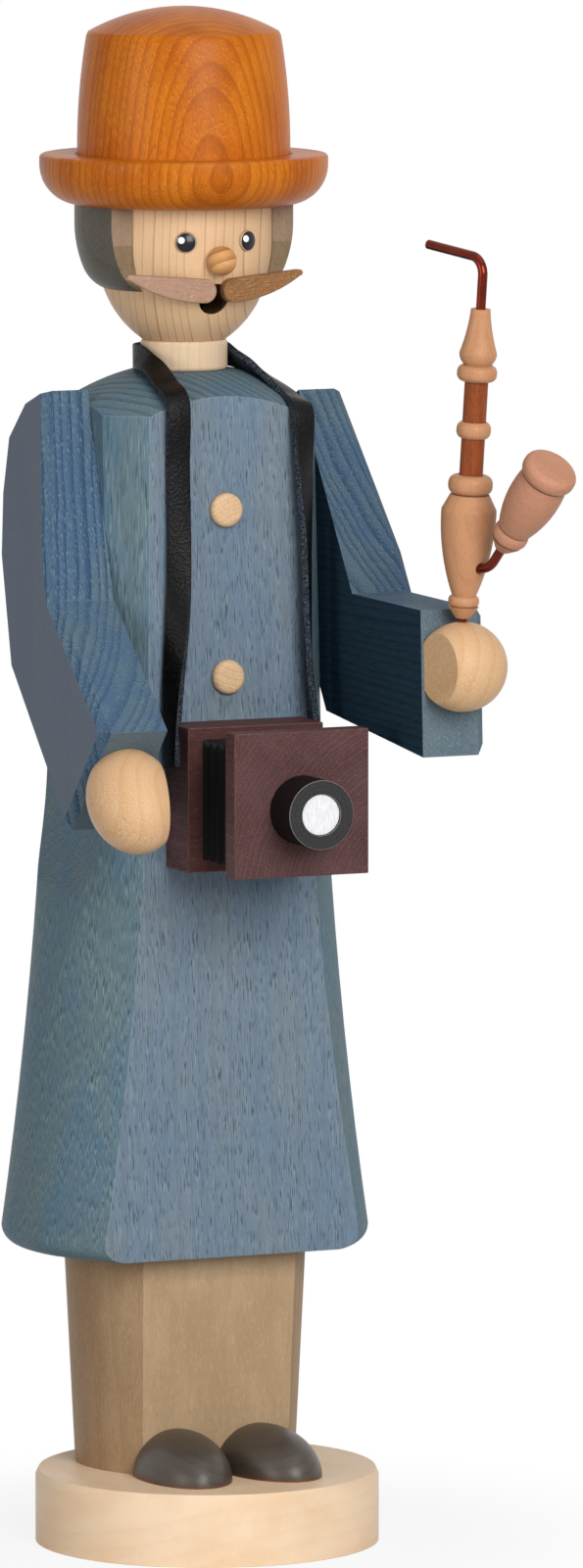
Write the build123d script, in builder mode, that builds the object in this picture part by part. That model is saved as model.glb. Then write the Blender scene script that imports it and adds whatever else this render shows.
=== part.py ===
from build123d import *
from math import cos, hypot, radians, sin, sqrt, tan
import os

# A turned wooden incense smoker, 449 mm tall: a photographer in a long coat.
# The coat, with all above it, lifts off the legs, which carry the incense cone.
# Lengths are in millimetres and angles in degrees. The figure faces -Y, its left is +X,
# and the origin is the middle of the underside of the base.

# Clearances and overruns
glue_gap = 0.1  # pegs, dowels and wires in their holes
lift_gap = 0.3  # spigot of the legs in the bore of the coat
leather_gap = 0.3  # leather band over wood
overrun = 6.0  # cuts run this far past the faces that they break through
quarter_turn = 90.0

# Base
base_radius = 50.4
base_height = 21.25
base_bevel_width = 0.9
base_bevel_drop = 1.9
figure_set_back = 16.6  # leg axis behind the middle of the base

# Screw that holds the legs on the base
screw_radius = 2.5
screw_length = 46.0
screw_head_radius = 4.6
screw_head_height = 2.6
screw_recess = 1.0  # head below the underside of the base
screw_slot_width = 1.0
screw_slot_depth = 0.9

# Trousers, with the spigot and the air channel
trousers_height = 65.05
trousers_foot_radius = 32.4
trousers_top_radius = 35.6
trousers_flat_foot = 22.8  # leg axis to the planed front, at the base
trousers_flat_top = 26.2  # the same, under the coat
spigot_height = 14.0
spigot_bevel = 1.0
air_bore_radius = 3.5
air_bore_offset = 18.6  # behind the leg axis
air_inlet_drop = 12.0  # middle of the inlet below the hem of the coat

# Shoes
shoe_length = 24.0  # half length of the turned egg
shoe_radius = 13.6
shoe_centre_offset = 13.4
shoe_centre_forward = 28.9
shoe_toe_out = 5.0

# Burner
dish_radius = 13.0
dish_rim_height = 3.0
dish_sheet = 0.6
nail_radius = 1.0
nail_length = 14.0
nail_head_radius = 2.6
nail_head_height = 1.2

# Coat
coat_height = 245.7  # hem to shoulder edge
coat_hem_radius = 53.9
coat_waist_radius = 40.4
coat_waist_height = 163.7
coat_shoulder_radius = 38.0
coat_hem_rounding = 5.0
shoulder_rise = 11.1  # shoulder edge to collar
shoulder_bulge = 1.2
collar_seat_radius = 15.2
coat_bore_radius = 25.0
smoke_chamber_below_camera = 10.0  # its upper end below the underside of the camera box
flue_radius = 8.0
coat_flat_hem = 36.0  # leg axis to the planed front, at the hem
coat_flat_shoulder = 29.9  # the same, at the shoulder edge
arm_seat_offset = 33.4  # leg axis to the planed sides
arm_seat_length = 106.0  # from the shoulder edge down to where the cutter runs out
arm_seat_cutter = 78.0  # radius of the cutter

# Neck
collar_radius = 12.7
collar_height = 8.9
collar_rounding = 1.2
neck_tube_bore = 5.0
neck_tube_in_coat = 12.0
neck_tube_in_head = 5.0

# Head
head_radius = 26.0
head_height = 45.5
head_seat_radius = 12.2
head_jaw_radius = 22.4
head_jaw_height = 12.3
head_cheek_height = 29.0  # from here up the side is straight
mouth_height = 13.0
mouth_radius = 4.55
smoke_bore_above_mouth = 2.0

# Face
eye_radius = 2.95
eye_height = 29.8
eye_turn = 21.75
eye_sink = 1.2
eye_edge = 0.5
eye_dome = 0.7
nose_radius = 4.25
nose_height = 24.5
nose_reach = 28.3  # head axis to the middle of the ball
nose_peg_radius = 1.5
nose_peg_length = 6.0
moustache_end_radius = 3.5
moustache_reach = 22.4  # middle of the round end to the tip, sideways
moustache_rise = 4.3
moustache_gap = 2.4  # between the two round ends
moustache_height = 15.7
moustache_thickness = 2.8
moustache_forward = 27.0  # head axis to the front of the round end
moustache_sweep = 8.3  # angle that the leaf turns back
moustache_belly = 1.6
moustache_tip_radius = 0.9
moustache_edge = 0.5

# Hair
hair_radius = 31.9
hair_straight_drop = 5.5  # below the hat its side is straight for this much
hair_turn_radius = 29.4
hair_turn_drop = 18.5
hair_edge_radius = 22.0
hair_drop = 25.0
hair_front = 14.0  # head axis to the cut front
hair_gap = 0.15

# Hat
hat_socket_depth = 6.0
brim_foot_radius = 32.5
brim_radius = 42.1
brim_underside_rise = 11.5
brim_height = 14.5
brim_curl = 1.2
crown_foot_radius = 31.1
crown_top_radius = 28.4
crown_height = 34.4
crown_bulge = 0.7
crown_edge = 1.2
crown_dome = 8.5
crown_groove = 0.7

# Buttons
button_radius = 5.0
button_thickness = 2.5
button_rounding = 1.7
button_peg_radius = 1.5
button_peg_length = 6.0
button_upper_drop = 27.6  # its middle below the shoulder edge
button_above_camera = 7.4  # lower button, its edge above the camera box

# Arms
arm_thickness = 20.0
arm_shoulder_thickness = 14.0
arm_bevel = 2.6
arm_fold_rise = 10.4  # where the thinning towards the shoulder starts, above the elbow
arm_outward_share = 0.5  # faces whose normal points outwards more than this are bevelled
right_arm_above_shoulder = 6.7
left_arm_above_shoulder = 4.35
arm_behind = 17.0
arm_dowel_radius = 3.0
arm_dowel_length = 22.0
arm_dowel_drop = 19.7  # below the shoulder edge
arm_dowel_forward = 0.0
right_arm_depth = 83.4
right_arm_height = 124.7
left_arm_depth = 113.6
left_arm_height = 98.95
# From the back edge and the lowest point, as shares of depth and height:
# front of the shoulder, elbow, top of the cuff, foot of the cuff, underside, back
right_arm_shares = [(0.297, 1.0), (0.519, 0.524), (1.0, 0.249), (0.652, 0.0),
                    (0.14, 0.343), (0.002, 0.746), (0.0, 0.886), (0.082, 0.948)]
left_arm_shares = [(0.211, 1.0), (0.555, 0.431), (0.983, 0.427), (1.0, 0.0),
                   (0.39, 0.067), (0.002, 0.703), (0.0, 0.86), (0.07, 0.924)]

# Hands
hand_radius = 13.0
right_hand_half_length = 16.8
right_hand_out = 12.0  # middle of the hand beyond the cuff
left_hand_out = 6.3
hand_above_middle = 4.9  # middle of the hand above the middle of the cuff
hand_flat = 8.2  # middle of the hand to its flat
hand_flat_turn = 9.0  # the flat faces inwards and this much forwards
hand_dowel_radius = 3.0
hand_dowel_length = 18.0

# Camera
camera_box_width = 42.6
camera_box_height = 42.1
camera_box_depth = 16.4
camera_drop = 130.7  # its underside below the shoulder edge
camera_offset = 1.4
bellows_width = 33.4
bellows_height = 35.0
bellows_length = 26.5
bellows_pleats = 5
bellows_pleat_depth = 3.0
lens_board_width = 42.0
lens_board_height = 42.0
lens_board_thickness = 6.8
lens_board_rise = 1.7
lens_barrel_radius = 10.0
lens_barrel_length = 14.2
lens_bore_radius = 5.9
lens_disc_thickness = 1.5
lens_disc_recess = 0.7
lens_spigot_radius = 4.0
lens_spigot_length = 4.0
camera_dowel_radius = 2.5
camera_dowel_length = 20.0

# Leather band
strap_width = 7.0
strap_thickness = 1.2
strap_end_height = 30.0  # lower end above the underside of the camera box
strap_side_forward = 8.0  # its middle in front of the back of the box
strap_chest_offsets = {"right": 15.4, "left": 23.6}
strap_neck_turns = [15, 30, 45, 60, 75, 90]  # places round the neck, from behind to the side
strap_leave_share = 0.55  # place where it leaves the neck, ahead of the axis, of its radius there
strap_leave_out = 0.8
strap_leave_drop = 0.8
strap_leave_tilt = 50.0
strap_dome_lift = 0.8  # height of the stiff band over the shoulder dome, besides its gap
strap_slope = 0.28  # rise of the band towards the neck, where it lies across the dome
strap_edge_share = 0.83  # last place on the dome, of the distance to the planed front
strap_chest_drop = 24.6  # its upper place on the planed front, below the shoulder edge
strap_above_camera = 19.8  # its lower place there, above the camera box
strap_twist_step = 25.0  # the band twists by no more from one cross-section to the next

# Pipe
pipe_lean = 4.8
pipe_turn = 18.0  # from straight ahead towards the figure's left
pipe_wire_radius = 1.4
pipe_stand_off = 1.1
pipe_foot_length = 6.6
pipe_foot_tip_radius = 2.1
pipe_foot_bead_radius = 4.45
pipe_foot_bead_height = 3.3
pipe_body_length = 29.2
pipe_body_foot_radius = 3.5
pipe_body_radius = 7.95
pipe_shoulder_height = 24.8
pipe_shoulder_radius = 5.7
pipe_body_belly = 1.2  # how far its lower side curves out
pipe_ring_radius = 6.4
pipe_ring_height = 5.7
stem_radius = 3.4
stem_in_body = 5.0
stem_in_mouthpiece = 5.0
stem_length = 27.0  # between body ring and mouthpiece ring
stem_bead_radius = 4.95
stem_bead_height = 5.1
stem_bead_share = 0.48  # place of its middle along the visible stem
mouth_ring_radius = 5.75
mouth_ring_height = 4.8
mouthpiece_height = 16.1
mouthpiece_foot_radius = 3.9
mouthpiece_radius = 5.4
mouthpiece_tip_radius = 2.8
mouthpiece_wide_height = 3.4
mouthpiece_belly = 0.4
mouthpiece_hollow = 0.4
mouth_wire_rise = 14.4
mouth_wire_reach = 23.5
mouth_wire_slope = 0.9  # its end above its bend
mouth_wire_bend = 5.0
wire_in_wood = 5.0
bead_rounding_share = 0.42  # edge rounding of every bead, of its height

# Pipe bowl
bowl_tilt = 35.9  # from the stem
bowl_out = 14.9  # tip of the bowl, square to the stem
bowl_up = 22.6  # tip of the bowl above the foot of the pipe
bowl_length = 32.7
bowl_tip_radius = 2.4
bowl_tip_flare = 4.55
bowl_bead_radius = 5.25
bowl_bead_height = 5.0
bowl_bead_start = 3.0
bowl_radius = 7.35
bowl_neck_radius = 5.0
bowl_top_radius = 7.0
bowl_rim_radius = 8.1
bowl_rim_height = 5.2
bowl_wire_bend = 7.0
bowl_wire_height = 14.6  # where the wire enters the pipe body


# Heights of the faces that the pieces stand on
trousers_bottom = base_height
hem_height = trousers_bottom + trousers_height
shoulder_height = hem_height + coat_height
coat_top = shoulder_height + shoulder_rise
head_bottom = coat_top + collar_height
head_top = head_bottom + head_height
hat_bottom = head_top - hat_socket_depth
arm_dowel_height = coat_height - arm_dowel_drop  # this and the next five are above the hem
camera_bottom_height = coat_height - camera_drop
camera_top_height = camera_bottom_height + camera_box_height
smoke_chamber_height = camera_bottom_height - smoke_chamber_below_camera
button_lower_height = camera_top_height + button_above_camera + button_radius
button_heights = {"upper": coat_height - button_upper_drop, "lower": button_lower_height}
spigot_radius = coat_bore_radius - lift_gap
spigot_top = hem_height + spigot_height
up = (0, 0, 1)
leg_axis = Axis((0, figure_set_back, 0), up)


def place(x, forward, height):
    """A point given by its place to the left, in front of the leg axis and above the table."""
    return Vector(x, figure_set_back - forward, height)


def section_plane(height):
    """The upright plane through the leg axis, drawn as radius and height above a level."""
    return Plane(origin=place(0, 0, height), x_dir=(1, 0, 0), z_dir=(0, -1, 0))


def coat_flat(height):
    """Distance from the leg axis to the planed front of the coat at a height above the table."""
    share = (height - hem_height) / coat_height
    return coat_flat_hem + (coat_flat_shoulder - coat_flat_hem) * share


def flat_face(height_low, flat_low, height_high, flat_high):
    """The plane of a planed front, its normal forwards, from its distances at two heights."""
    lean = (flat_low - flat_high) / (height_high - height_low)
    return Plane(origin=place(0, flat_low, height_low), x_dir=(1, 0, 0), z_dir=(0, -1, lean))


trousers_front = flat_face(trousers_bottom, trousers_flat_foot, hem_height, trousers_flat_top)
coat_front = flat_face(hem_height, coat_flat_hem, shoulder_height, coat_flat_shoulder)


# Base plate: a turned disc with a bevelled top edge and a countersunk hole from below
with BuildPart() as base_plate:
    with BuildSketch(Plane.XZ):
        with BuildLine():
            Polyline((0, 0), (base_radius, 0), (base_radius, base_height - base_bevel_drop),
                     (base_radius - base_bevel_width, base_height), (0, base_height), close=True)
        make_face()
    revolve(axis=Axis.Z)
    with BuildSketch(section_plane(0)):
        with BuildLine():
            Polyline((0, -overrun), (screw_head_radius + glue_gap, -overrun),
                     (screw_head_radius + glue_gap, screw_recess),
                     (screw_radius + glue_gap, screw_recess + screw_head_height),
                     (screw_radius + glue_gap, base_height + overrun),
                     (0, base_height + overrun), close=True)
        make_face()
    revolve(axis=leg_axis, mode=Mode.SUBTRACT)

# Base screw: a slotted countersunk wood screw
with BuildPart() as base_screw:
    with BuildSketch(section_plane(screw_recess)):
        with BuildLine():
            Polyline((0, 0), (screw_head_radius, 0), (screw_radius, screw_head_height),
                     (screw_radius, screw_length - 2 * screw_radius), (0, screw_length), close=True)
        make_face()
    revolve(axis=leg_axis)
    with BuildSketch(Plane(place(0, 0, screw_recess))):
        Rectangle(2 * screw_head_radius + overrun, screw_slot_width)
    extrude(amount=screw_slot_depth, mode=Mode.SUBTRACT)

# Trousers: turned with the spigot in one piece, planed in front, with an air channel behind
with BuildPart() as trousers:
    with BuildSketch(section_plane(trousers_bottom)):
        with BuildLine():
            Polyline((0, 0), (trousers_foot_radius, 0), (trousers_top_radius, trousers_height),
                     (spigot_radius, trousers_height),
                     (spigot_radius, trousers_height + spigot_height - spigot_bevel),
                     (spigot_radius - spigot_bevel, trousers_height + spigot_height),
                     (0, trousers_height + spigot_height), close=True)
        make_face()
    revolve(axis=leg_axis)
    split(bisect_by=trousers_front, keep=Keep.BOTTOM)
    with BuildSketch(Plane(place(0, -air_bore_offset, hem_height - air_inlet_drop))):
        Circle(air_bore_radius)
    extrude(amount=air_inlet_drop + spigot_height + overrun, mode=Mode.SUBTRACT)
    inlet = place(0, -air_bore_offset, hem_height - air_inlet_drop)
    with BuildSketch(Plane(inlet, x_dir=(1, 0, 0), z_dir=(0, 1, 0))):
        Circle(air_bore_radius)
    extrude(amount=trousers_top_radius, mode=Mode.SUBTRACT)
    with BuildSketch(Plane(place(0, 0, trousers_bottom - overrun))):
        Circle(screw_radius + glue_gap)
    extrude(amount=screw_recess + screw_length - trousers_bottom + overrun + glue_gap, mode=Mode.SUBTRACT)
    with BuildSketch(Plane(place(0, 0, spigot_top + overrun))):
        Circle(nail_radius + glue_gap)
    extrude(amount=-(nail_length + overrun), mode=Mode.SUBTRACT)

# Burner dish: pressed sheet with an upright rim and a hole for the nail
with BuildPart() as burner_dish:
    with BuildSketch(section_plane(spigot_top)):
        with BuildLine():
            Polyline((nail_radius + glue_gap, 0), (dish_radius, 0), (dish_radius, dish_rim_height),
                     (dish_radius - dish_sheet, dish_rim_height), (dish_radius - dish_sheet, dish_sheet),
                     (nail_radius + glue_gap, dish_sheet), close=True)
        make_face()
    revolve(axis=leg_axis)

# Burner nail: its head holds the dish on the spigot
with BuildPart() as burner_nail:
    with BuildSketch(section_plane(spigot_top + dish_sheet)):
        with BuildLine():
            TangentArc((0, nail_head_height), (nail_head_radius, 0), tangent=(1, 0))
            Polyline((nail_head_radius, 0), (nail_radius, 0), (nail_radius, 2 * nail_radius - nail_length),
                     (0, -nail_length), (0, nail_head_height))
        make_face()
    revolve(axis=leg_axis)


def make_shoe(side):
    """Half a turned egg on the base, turned a little outwards and cut off at the trousers."""
    toe = radians(shoe_toe_out) * side
    centre = place(side * shoe_centre_offset, shoe_centre_forward, base_height)
    sole = Plane(centre, x_dir=(sin(toe), -cos(toe), 0), z_dir=up)
    with BuildPart() as shoe:
        with BuildSketch(sole):
            Ellipse(shoe_length, shoe_radius)
            split(bisect_by=Plane.XZ)
        revolve(axis=Axis(centre, sole.x_dir))
        split(bisect_by=Plane(centre), keep=Keep.TOP)
        split(bisect_by=trousers_front.offset(glue_gap), keep=Keep.TOP)
        middle = Plane(place(side * glue_gap, 0, 0), x_dir=(0, 1, 0), z_dir=(side, 0, 0))
        split(bisect_by=middle, keep=Keep.TOP)
    return shoe.part


shoe_right = make_shoe(-1)
shoe_left = make_shoe(1)

# Coat: turned, with a flared skirt, a crisp shoulder edge and a low dome, bored as smoke chamber
# and flue, then planed in front and at both sides
with BuildPart() as coat:
    with BuildSketch(section_plane(hem_height)):
        with BuildLine():
            shoulder_point = (coat_shoulder_radius, coat_height)
            waist_point = (coat_waist_radius, coat_waist_height)
            hem_point = (coat_hem_radius, coat_hem_rounding)
            side = Line(shoulder_point, waist_point)
            TangentArc(waist_point, hem_point, tangent=side % 1)
            corner = coat_hem_radius - coat_hem_rounding
            CenterArc((corner, coat_hem_rounding), coat_hem_rounding, -quarter_turn, quarter_turn)
            Polyline((corner, 0), (0, 0), (0, coat_height + shoulder_rise),
                     (collar_seat_radius, coat_height + shoulder_rise))
            SagittaArc((collar_seat_radius, coat_height + shoulder_rise), shoulder_point, shoulder_bulge)
        make_face()
    revolve(axis=leg_axis)
    split(bisect_by=coat_front, keep=Keep.BOTTOM)
    with BuildSketch(section_plane(hem_height)):
        with BuildLine():
            drill_tip = smoke_chamber_height + (coat_bore_radius - flue_radius)
            Polyline((0, -overrun), (coat_bore_radius, -overrun), (coat_bore_radius, smoke_chamber_height),
                     (flue_radius, drill_tip), (flue_radius, coat_height + shoulder_rise + overrun),
                     (0, coat_height + shoulder_rise + overrun), close=True)
        make_face()
    revolve(axis=leg_axis, mode=Mode.SUBTRACT)
    runout = coat_height - arm_seat_length
    runout_depth = coat_hem_radius - arm_seat_offset + overrun
    runout_drop = sqrt(arm_seat_cutter ** 2 - (arm_seat_cutter - runout_depth) ** 2)
    with BuildSketch(section_plane(hem_height)):
        with BuildLine():
            runout_end = (arm_seat_offset + runout_depth, runout - runout_drop)
            TangentArc((arm_seat_offset, runout), runout_end, tangent=(0, -1))
            Polyline(runout_end, (arm_seat_offset + runout_depth, coat_height + shoulder_rise),
                     (arm_seat_offset, coat_height + shoulder_rise), (arm_seat_offset, runout))
        make_face()
        mirror(about=Plane.YZ)
    extrude(amount=coat_hem_radius, both=True, mode=Mode.SUBTRACT)
    for height in button_heights.values():
        with BuildSketch(coat_front):
            with Locations((0, height)):
                Circle(button_peg_radius + glue_gap)
        extrude(amount=-(button_peg_length + glue_gap), mode=Mode.SUBTRACT)
    for side in (-1, 1):
        seat = Plane(place(side * arm_seat_offset, arm_dowel_forward, hem_height + arm_dowel_height),
                     x_dir=(0, 1, 0), z_dir=(side, 0, 0))
        with BuildSketch(seat):
            Circle(arm_dowel_radius + glue_gap)
        extrude(amount=-(arm_dowel_length / 2 + glue_gap), mode=Mode.SUBTRACT)
    camera_middle = camera_bottom_height + camera_box_height / 2
    camera_back_forward = coat_flat(hem_height + camera_bottom_height) + glue_gap
    with BuildSketch(Plane(place(camera_offset, camera_back_forward, hem_height + camera_middle),
                           x_dir=(1, 0, 0), z_dir=(0, -1, 0))):
        Circle(camera_dowel_radius + glue_gap)
    extrude(amount=-(camera_dowel_length / 2 + glue_gap), mode=Mode.SUBTRACT)

# Neck collar: a turned ring with rounded edges
with BuildPart() as neck_collar:
    with BuildSketch(Plane(place(0, 0, coat_top))):
        Circle(collar_radius)
        Circle(flue_radius, mode=Mode.SUBTRACT)
    extrude(amount=collar_height)
    fillet(neck_collar.faces().sort_by(SortBy.AREA)[-1].edges(), radius=collar_rounding)

# Neck tube: a bored dowel that joins coat, collar and head and leads the smoke up
with BuildPart() as neck_tube:
    with BuildSketch(Plane(place(0, 0, coat_top - neck_tube_in_coat))):
        Circle(flue_radius - glue_gap)
        Circle(neck_tube_bore, mode=Mode.SUBTRACT)
    extrude(amount=neck_tube_in_coat + collar_height + neck_tube_in_head)


def head_outline(growth):
    """Turned outline of the head, moved outwards by a gap."""
    cheek = (head_radius + growth, head_cheek_height)
    jaw = (head_jaw_radius + growth, head_jaw_height)
    seat = (head_seat_radius + growth, 0)
    side = TangentArc(cheek, jaw, tangent=(0, -1))
    TangentArc(jaw, seat, tangent=side % 1)
    Polyline(seat, (0, 0), (0, head_height), (head_radius + growth, head_height), cheek)


def face_plane(turn, height, reach):
    """A plane on the head whose normal points outwards, turned from straight ahead to the left."""
    angle = radians(turn)
    out = Vector(sin(angle), -cos(angle), 0)
    return Plane(place(0, 0, height) + out * reach, x_dir=(cos(angle), sin(angle), 0), z_dir=out)


eye_sides = {"right": -1, "left": 1}
mouth_level = head_bottom + mouth_height
nose_plane = face_plane(0, head_bottom + nose_height, nose_reach)

# Head: turned, bored from below up to the mouth hole, with sinkings for the eyes and the nose peg
with BuildPart() as head:
    with BuildSketch(section_plane(head_bottom)):
        with BuildLine():
            head_outline(0)
        make_face()
    revolve(axis=leg_axis)
    with BuildSketch(Plane(place(0, 0, head_bottom - overrun))):
        Circle(flue_radius)
    extrude(amount=mouth_height + mouth_radius + smoke_bore_above_mouth + overrun, mode=Mode.SUBTRACT)
    with BuildSketch(face_plane(0, mouth_level, head_radius + overrun)):
        Circle(mouth_radius)
    extrude(amount=-(head_radius + overrun), mode=Mode.SUBTRACT)
    for side in eye_sides.values():
        with BuildSketch(face_plane(side * eye_turn, head_bottom + eye_height, head_radius + overrun)):
            Circle(eye_radius + glue_gap)
        extrude(amount=-(eye_sink + glue_gap + overrun), mode=Mode.SUBTRACT)
    with BuildSketch(nose_plane):
        Circle(nose_peg_radius + glue_gap)
    extrude(amount=-(nose_reach - head_radius + nose_peg_length + glue_gap), mode=Mode.SUBTRACT)


def make_eye(side):
    """A small domed disc sunk into the head."""
    seat = face_plane(side * eye_turn, head_bottom + eye_height, head_radius - eye_sink)
    with BuildPart() as eye:
        with BuildSketch(Plane(seat.origin, x_dir=seat.x_dir, z_dir=-seat.y_dir)):
            with BuildLine():
                edge = eye_sink + eye_edge
                dome = edge + eye_dome
                TangentArc((0, dome), (eye_radius, edge), tangent=(1, 0))
                Polyline((eye_radius, edge), (eye_radius, 0), (0, 0), (0, dome))
            make_face()
        revolve(axis=Axis(seat.origin, seat.z_dir))
    return eye.part


eyes = {name: make_eye(side) for name, side in eye_sides.items()}

# Nose: a turned ball on a peg, hollowed behind where it sits on the head
with BuildPart() as nose:
    with BuildSketch(Plane(nose_plane.origin, x_dir=(1, 0, 0), z_dir=up)):
        Circle(nose_radius)
        split(bisect_by=Plane.YZ)
    revolve(axis=Axis(nose_plane.origin, nose_plane.z_dir))
    with BuildSketch(section_plane(head_bottom)):
        with BuildLine():
            head_outline(glue_gap)
        make_face()
    revolve(axis=leg_axis, mode=Mode.SUBTRACT)
    with BuildSketch(nose_plane):
        Circle(nose_peg_radius)
    extrude(amount=-(nose_reach - head_radius + nose_peg_length))


def make_moustache(side):
    """A flat wooden leaf with a round inner end, a straight top and a bellied underside."""
    sweep = radians(moustache_sweep)
    middle = moustache_gap / 2 + moustache_end_radius
    across = Vector(side * cos(sweep), sin(sweep), 0)
    ahead = Vector(side * sin(sweep), -cos(sweep), 0)
    leaf_plane = Plane(place(side * middle, moustache_forward, head_bottom + moustache_height),
                       x_dir=across, z_dir=ahead)
    flip = leaf_plane.y_dir.Z
    with BuildPart() as leaf:
        with BuildSketch(leaf_plane):
            with BuildLine():
                r = moustache_end_radius
                tip = (moustache_reach, flip * moustache_rise)
                tip_top = (tip[0], flip * (moustache_rise + moustache_tip_radius))
                tip_end = (tip[0] + moustache_tip_radius, tip[1])
                tip_low = (tip[0], flip * (moustache_rise - moustache_tip_radius))
                Line((0, flip * r), tip_top)
                ThreePointArc(tip_top, tip_end, tip_low)
                SagittaArc(tip_low, (0, -flip * r), flip * moustache_belly)
                ThreePointArc((0, -flip * r), (-r, 0), (0, flip * r))
            make_face()
        extrude(amount=-moustache_thickness)
        front = leaf.faces().sort_by(Axis(leaf_plane.origin, ahead))[-1]
        fillet(front.edges(), radius=moustache_edge)
        with BuildSketch(section_plane(head_bottom)):
            with BuildLine():
                head_outline(glue_gap)
            make_face()
        revolve(axis=leg_axis, mode=Mode.SUBTRACT)
    return leaf.part


moustache_right = make_moustache(-1)
moustache_left = make_moustache(1)

# Hair: a turned shell round the back and sides of the head, cut off flat in front
with BuildPart() as hair:
    with BuildSketch(section_plane(hat_bottom)):
        with BuildLine():
            straight_end = (hair_radius, -hair_straight_drop)
            turn_point = (hair_turn_radius, -hair_turn_drop)
            edge_point = (hair_edge_radius, -hair_drop)
            side = TangentArc(straight_end, turn_point, tangent=(0, -1))
            TangentArc(turn_point, edge_point, tangent=side % 1)
            Polyline(edge_point, (0, -hair_drop), (0, 0), (hair_radius, 0), straight_end)
        make_face()
    revolve(axis=leg_axis)
    with BuildSketch(section_plane(head_bottom)):
        with BuildLine():
            head_outline(hair_gap)
        make_face()
    revolve(axis=leg_axis, mode=Mode.SUBTRACT)
    split(bisect_by=Plane(place(0, hair_front, 0), x_dir=(1, 0, 0), z_dir=(0, -1, 0)), keep=Keep.BOTTOM)

# Hat: crown and curled brim turned in one piece, with a socket for the top of the head
with BuildPart() as hat:
    with BuildSketch(section_plane(hat_bottom)):
        with BuildLine():
            socket = head_radius + glue_gap
            curl_low = (brim_radius, brim_height - brim_curl)
            curl_middle = (brim_radius - brim_curl, brim_height - brim_curl)
            crown_low = (crown_foot_radius, brim_height + crown_groove)
            crown_high = (crown_top_radius, brim_height + crown_height)
            dome_foot = (crown_top_radius - crown_edge / 2, brim_height + crown_height + crown_edge)
            dome_top = (0, brim_height + crown_height + crown_dome)
            TangentArc((brim_radius, brim_underside_rise), (brim_foot_radius, 0), tangent=(0, -1))
            Line((brim_radius, brim_underside_rise), curl_low)
            CenterArc(curl_middle, brim_curl, 0, quarter_turn)
            groove_start = (crown_foot_radius + crown_groove, brim_height)
            Polyline((brim_radius - brim_curl, brim_height), groove_start,
                     (crown_foot_radius, brim_height - crown_groove), crown_low)
            SagittaArc(crown_low, crown_high, -crown_bulge)
            Line(crown_high, dome_foot)
            TangentArc(dome_top, dome_foot, tangent=(1, 0))
            Polyline(dome_top, (0, hat_socket_depth + glue_gap), (socket, hat_socket_depth + glue_gap),
                     (socket, 0), (brim_foot_radius, 0))
        make_face()
    revolve(axis=leg_axis)


def make_button(height):
    """A domed disc on a peg, on the planed front of the coat."""
    with BuildPart(Plane(coat_front.from_local_coords((0, height, 0)), x_dir=(1, 0, 0),
                         z_dir=coat_front.z_dir)) as button:
        Cylinder(button_radius, button_thickness, align=(Align.CENTER, Align.CENTER, Align.MIN))
        outwards = Axis(coat_front.origin, coat_front.z_dir)
        fillet(button.edges().sort_by(outwards)[-1], radius=button_rounding)
        Cylinder(button_peg_radius, button_peg_length, align=(Align.CENTER, Align.CENTER, Align.MAX))
    return button.part


buttons = {name: make_button(height) for name, height in button_heights.items()}


def arm_points(shares, depth, height, above_shoulder):
    """Corners of an arm seen from its side, as distance in front of the leg axis and height."""
    foot = shoulder_height + above_shoulder - height
    return [(across * depth - arm_behind, foot + rise * height) for across, rise in shares]


def make_arm(side, corners):
    """An arm sawn from a board, thinned towards the shoulder, its outer edges bevelled but for the top."""
    inner = Plane(place(side * arm_seat_offset, 0, 0), x_dir=(0, -1, 0), z_dir=(-1, 0, 0))
    fold_height = corners[1][1] + arm_fold_rise
    taper = (arm_thickness - arm_shoulder_thickness) / (corners[0][1] - fold_height)
    planed = Plane(place(side * (arm_seat_offset + arm_thickness), 0, fold_height), x_dir=(0, 1, 0),
                   z_dir=(side, 0, taper))
    with BuildPart() as arm:
        with BuildSketch(inner):
            with BuildLine():
                Polyline(*corners, close=True)
            make_face()
        extrude(amount=-side * arm_thickness)
        split(bisect_by=planed, keep=Keep.BOTTOM)
        outer = arm.faces().filter_by(lambda face: face.normal_at().X * side > arm_outward_share)
        fold = [edge for edge in outer.edges() if sum(edge in face.edges() for face in outer) > 1]
        plain = [*fold, outer.edges().sort_by(Axis.Z)[-1]]
        chamfer([edge for edge in outer.edges() if edge not in plain], length=arm_bevel)
        seat = Plane(place(side * arm_seat_offset, arm_dowel_forward, hem_height + arm_dowel_height),
                     x_dir=(0, 1, 0), z_dir=(side, 0, 0))
        with BuildSketch(seat):
            Circle(arm_dowel_radius + glue_gap)
        extrude(amount=arm_dowel_length / 2 + glue_gap, mode=Mode.SUBTRACT)
        with BuildSketch(cuff_plane(side, corners)):
            with Locations((0, hand_above_middle)):
                Circle(hand_dowel_radius + glue_gap)
        extrude(amount=-(hand_dowel_length / 2 + glue_gap), mode=Mode.SUBTRACT)
    return arm.part


def cuff_plane(side, corners):
    """The end face of an arm: its normal along the forearm, its y direction up the cuff."""
    (top_forward, top_height), (foot_forward, foot_height) = corners[2], corners[3]
    out = Vector(0, -(top_height - foot_height), -(top_forward - foot_forward))
    middle = place(side * (arm_seat_offset + arm_thickness / 2), (top_forward + foot_forward) / 2,
                   (top_height + foot_height) / 2)
    return Plane(middle, x_dir=(1, 0, 0), z_dir=out)


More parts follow.
